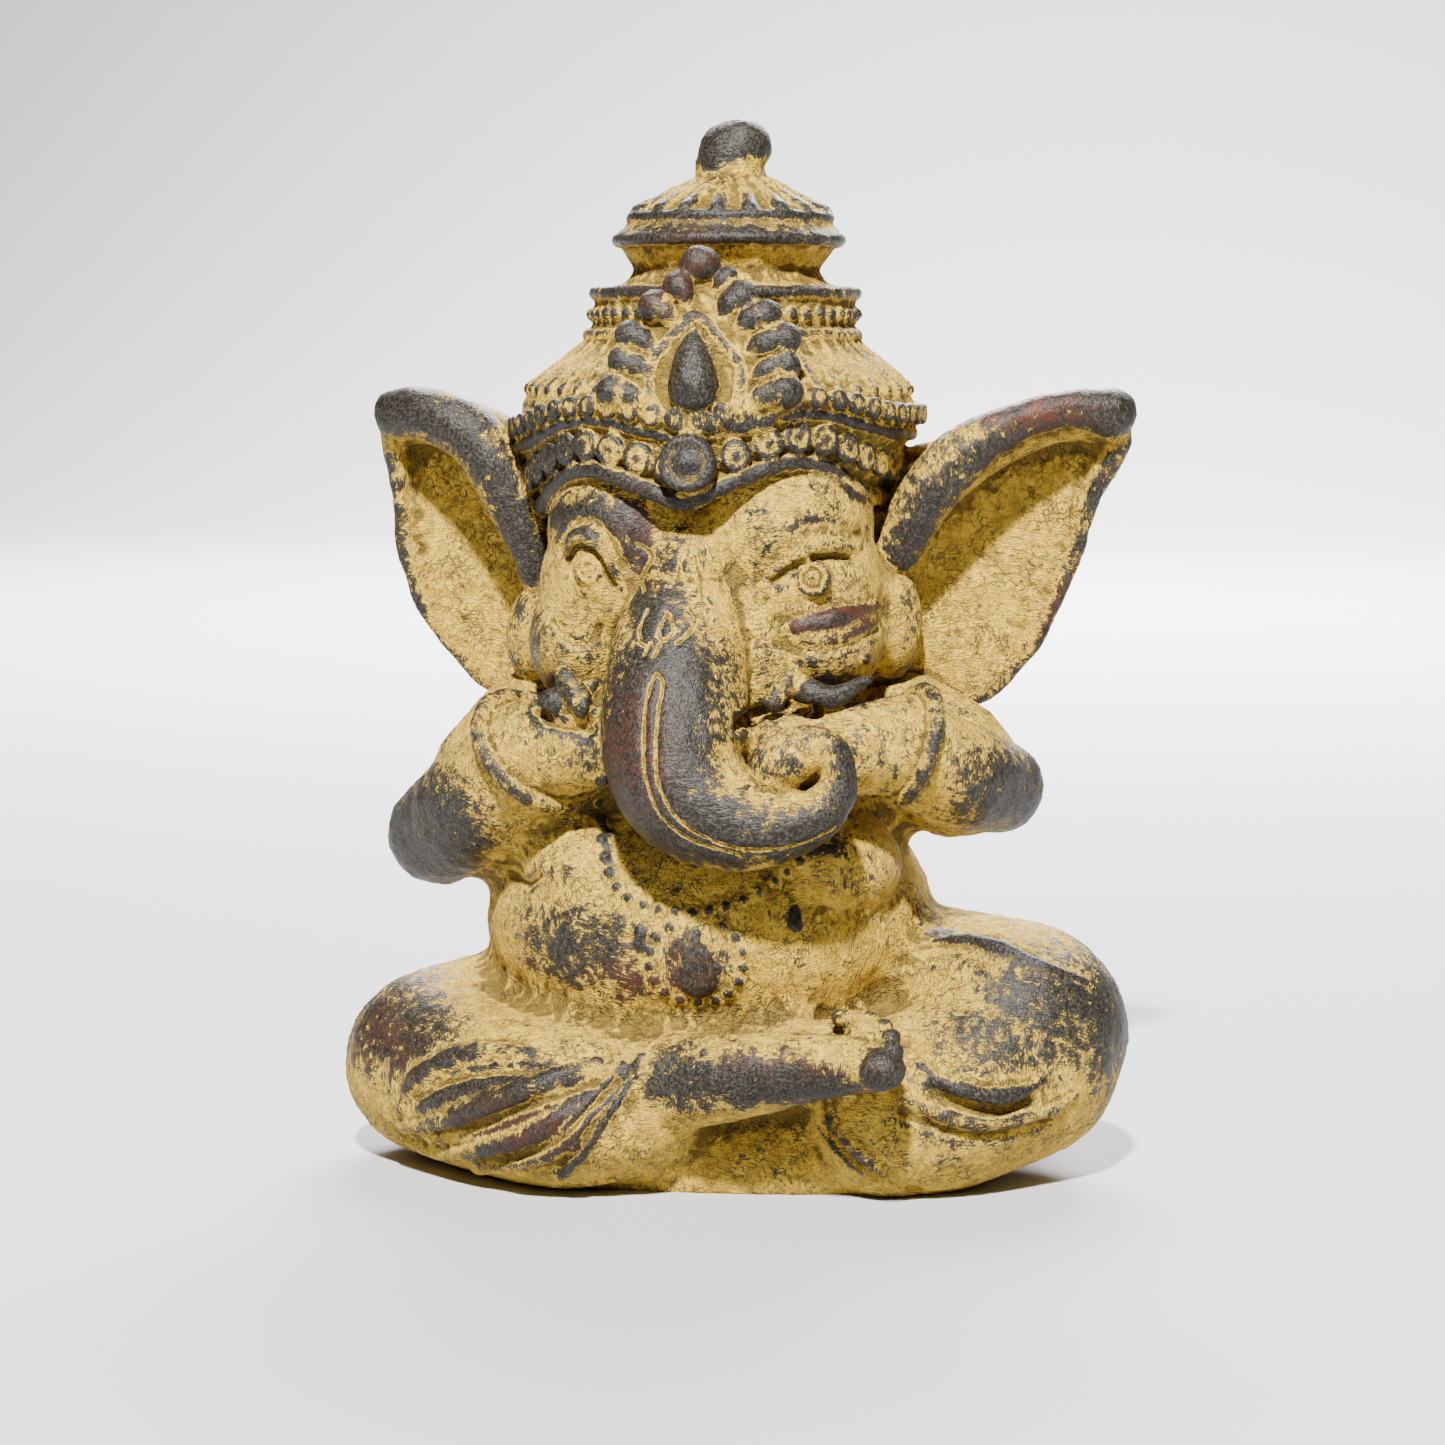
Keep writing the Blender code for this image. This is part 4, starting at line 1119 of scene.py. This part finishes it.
    # Gloss, then the grain of the surface
    rough = n.math("MULTIPLY_ADD", bare, -RUBBED_SHINE, WASH_ROUGHNESS)
    rough = n.math("MULTIPLY_ADD", fine, 0.2, rough)
    n.tree.links.new(rough, shader.inputs["Roughness"])
    n.tree.links.new(n.math("MULTIPLY", bare, RUBBED_METAL), shader.inputs["Metallic"])
    shader.inputs["Specular IOR Level"].default_value = SPECULAR
    pits = n.make("TexVoronoi", {"Vector": wandering, "Scale": PIT_SCALE}).outputs["Distance"]
    pits = n.ramp(pits, 0.0, 0.35)
    height = n.math("MULTIPLY_ADD", streak, 1.3, n.math("MULTIPLY", fine, 0.8))
    height = n.math("MULTIPLY_ADD", pits, 0.4, height)
    height = n.math("MULTIPLY_ADD", medium, 1.0, height)
    height = n.math("MULTIPLY_ADD", wrinkle, -0.5, height)
    soft = n.math("MULTIPLY_ADD", bare, -0.72, 1.0)
    bump = n.make("Bump", {"Height": height, "Strength": soft, "Distance": BUMP_HEIGHT})
    n.tree.links.new(bump.outputs["Normal"], shader.inputs["Normal"])
    return material


def statue():
    """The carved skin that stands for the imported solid."""
    mesh = cast()
    grooved(mesh)
    mesh = stood(thinned(mesh, TRIANGLES))
    wear_and_painted_shade(mesh)
    centred(mesh)
    mesh.shade_smooth()
    mesh.materials.append(patina())
    piece = bpy.data.objects.new("statue_skin", mesh)
    bpy.context.scene.collection.objects.link(piece)
    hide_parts("ganesha_statue")
    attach(piece, "root")


def camera():
    """The photograph's camera."""
    data = bpy.data.cameras.new("camera")
    data.lens = CAMERA_LENS
    data.sensor_width = SENSOR_WIDTH
    eye = bpy.data.objects.new("camera", data)
    eye.location = CAMERA_PLACE
    eye.rotation_euler = (CAMERA_AIM - CAMERA_PLACE).to_track_quat("-Z", "Y").to_euler()
    bpy.context.scene.collection.objects.link(eye)
    bpy.context.scene.camera = eye


def floor():
    """A pale floor that curves up into a backdrop."""
    profile = [(-FLOOR_REACH, 0.0), (FLOOR_DEPTH, 0.0)]
    steps = 12
    for i in range(1, steps + 1):
        angle = radians(90) * i / steps
        profile.append((FLOOR_DEPTH + FLOOR_BEND * sin(angle), FLOOR_BEND * (1 - cos(angle))))
    profile.append((FLOOR_DEPTH + FLOOR_BEND, FLOOR_REACH))
    points = []
    faces = []
    for y, z in profile:
        points.append((-FLOOR_REACH, y, z))
        points.append((FLOOR_REACH, y, z))
    for i in range(len(profile) - 1):
        faces.append((2 * i, 2 * i + 1, 2 * i + 3, 2 * i + 2))
    mesh = bpy.data.meshes.new("floor")
    mesh.from_pydata(points, [], faces)
    mesh.shade_smooth()
    material = bpy.data.materials.new("floor_paint")
    material.use_nodes = True
    shader = material.node_tree.nodes["Principled BSDF"]
    shader.inputs["Base Color"].default_value = FLOOR_GREY
    shader.inputs["Roughness"].default_value = FLOOR_ROUGHNESS
    mesh.materials.append(material)
    ground = bpy.data.objects.new("floor", mesh)
    bpy.context.scene.collection.objects.link(ground)


def area_light(name, place, aim, size, power):
    """A square soft light."""
    data = bpy.data.lights.new(name, "AREA")
    data.size = size
    data.energy = power
    lamp = bpy.data.objects.new(name, data)
    lamp.location = place
    lamp.rotation_euler = (Vector(aim) - Vector(place)).to_track_quat("-Z", "Y").to_euler()
    bpy.context.scene.collection.objects.link(lamp)


def lights():
    """A high key light, two lights on the backdrop and the far floor, and a faint sky."""
    for name, place, aim, size, power in LIGHTS:
        area_light(name, place, aim, size, power)
    world = bpy.data.worlds.new("sky")
    world.use_nodes = True
    sky = world.node_tree.nodes["Background"]
    sky.inputs["Color"].default_value = SKY_COLOUR
    sky.inputs["Strength"].default_value = SKY_STRENGTH
    bpy.context.scene.world = world


camera()
floor()
lights()
statue()
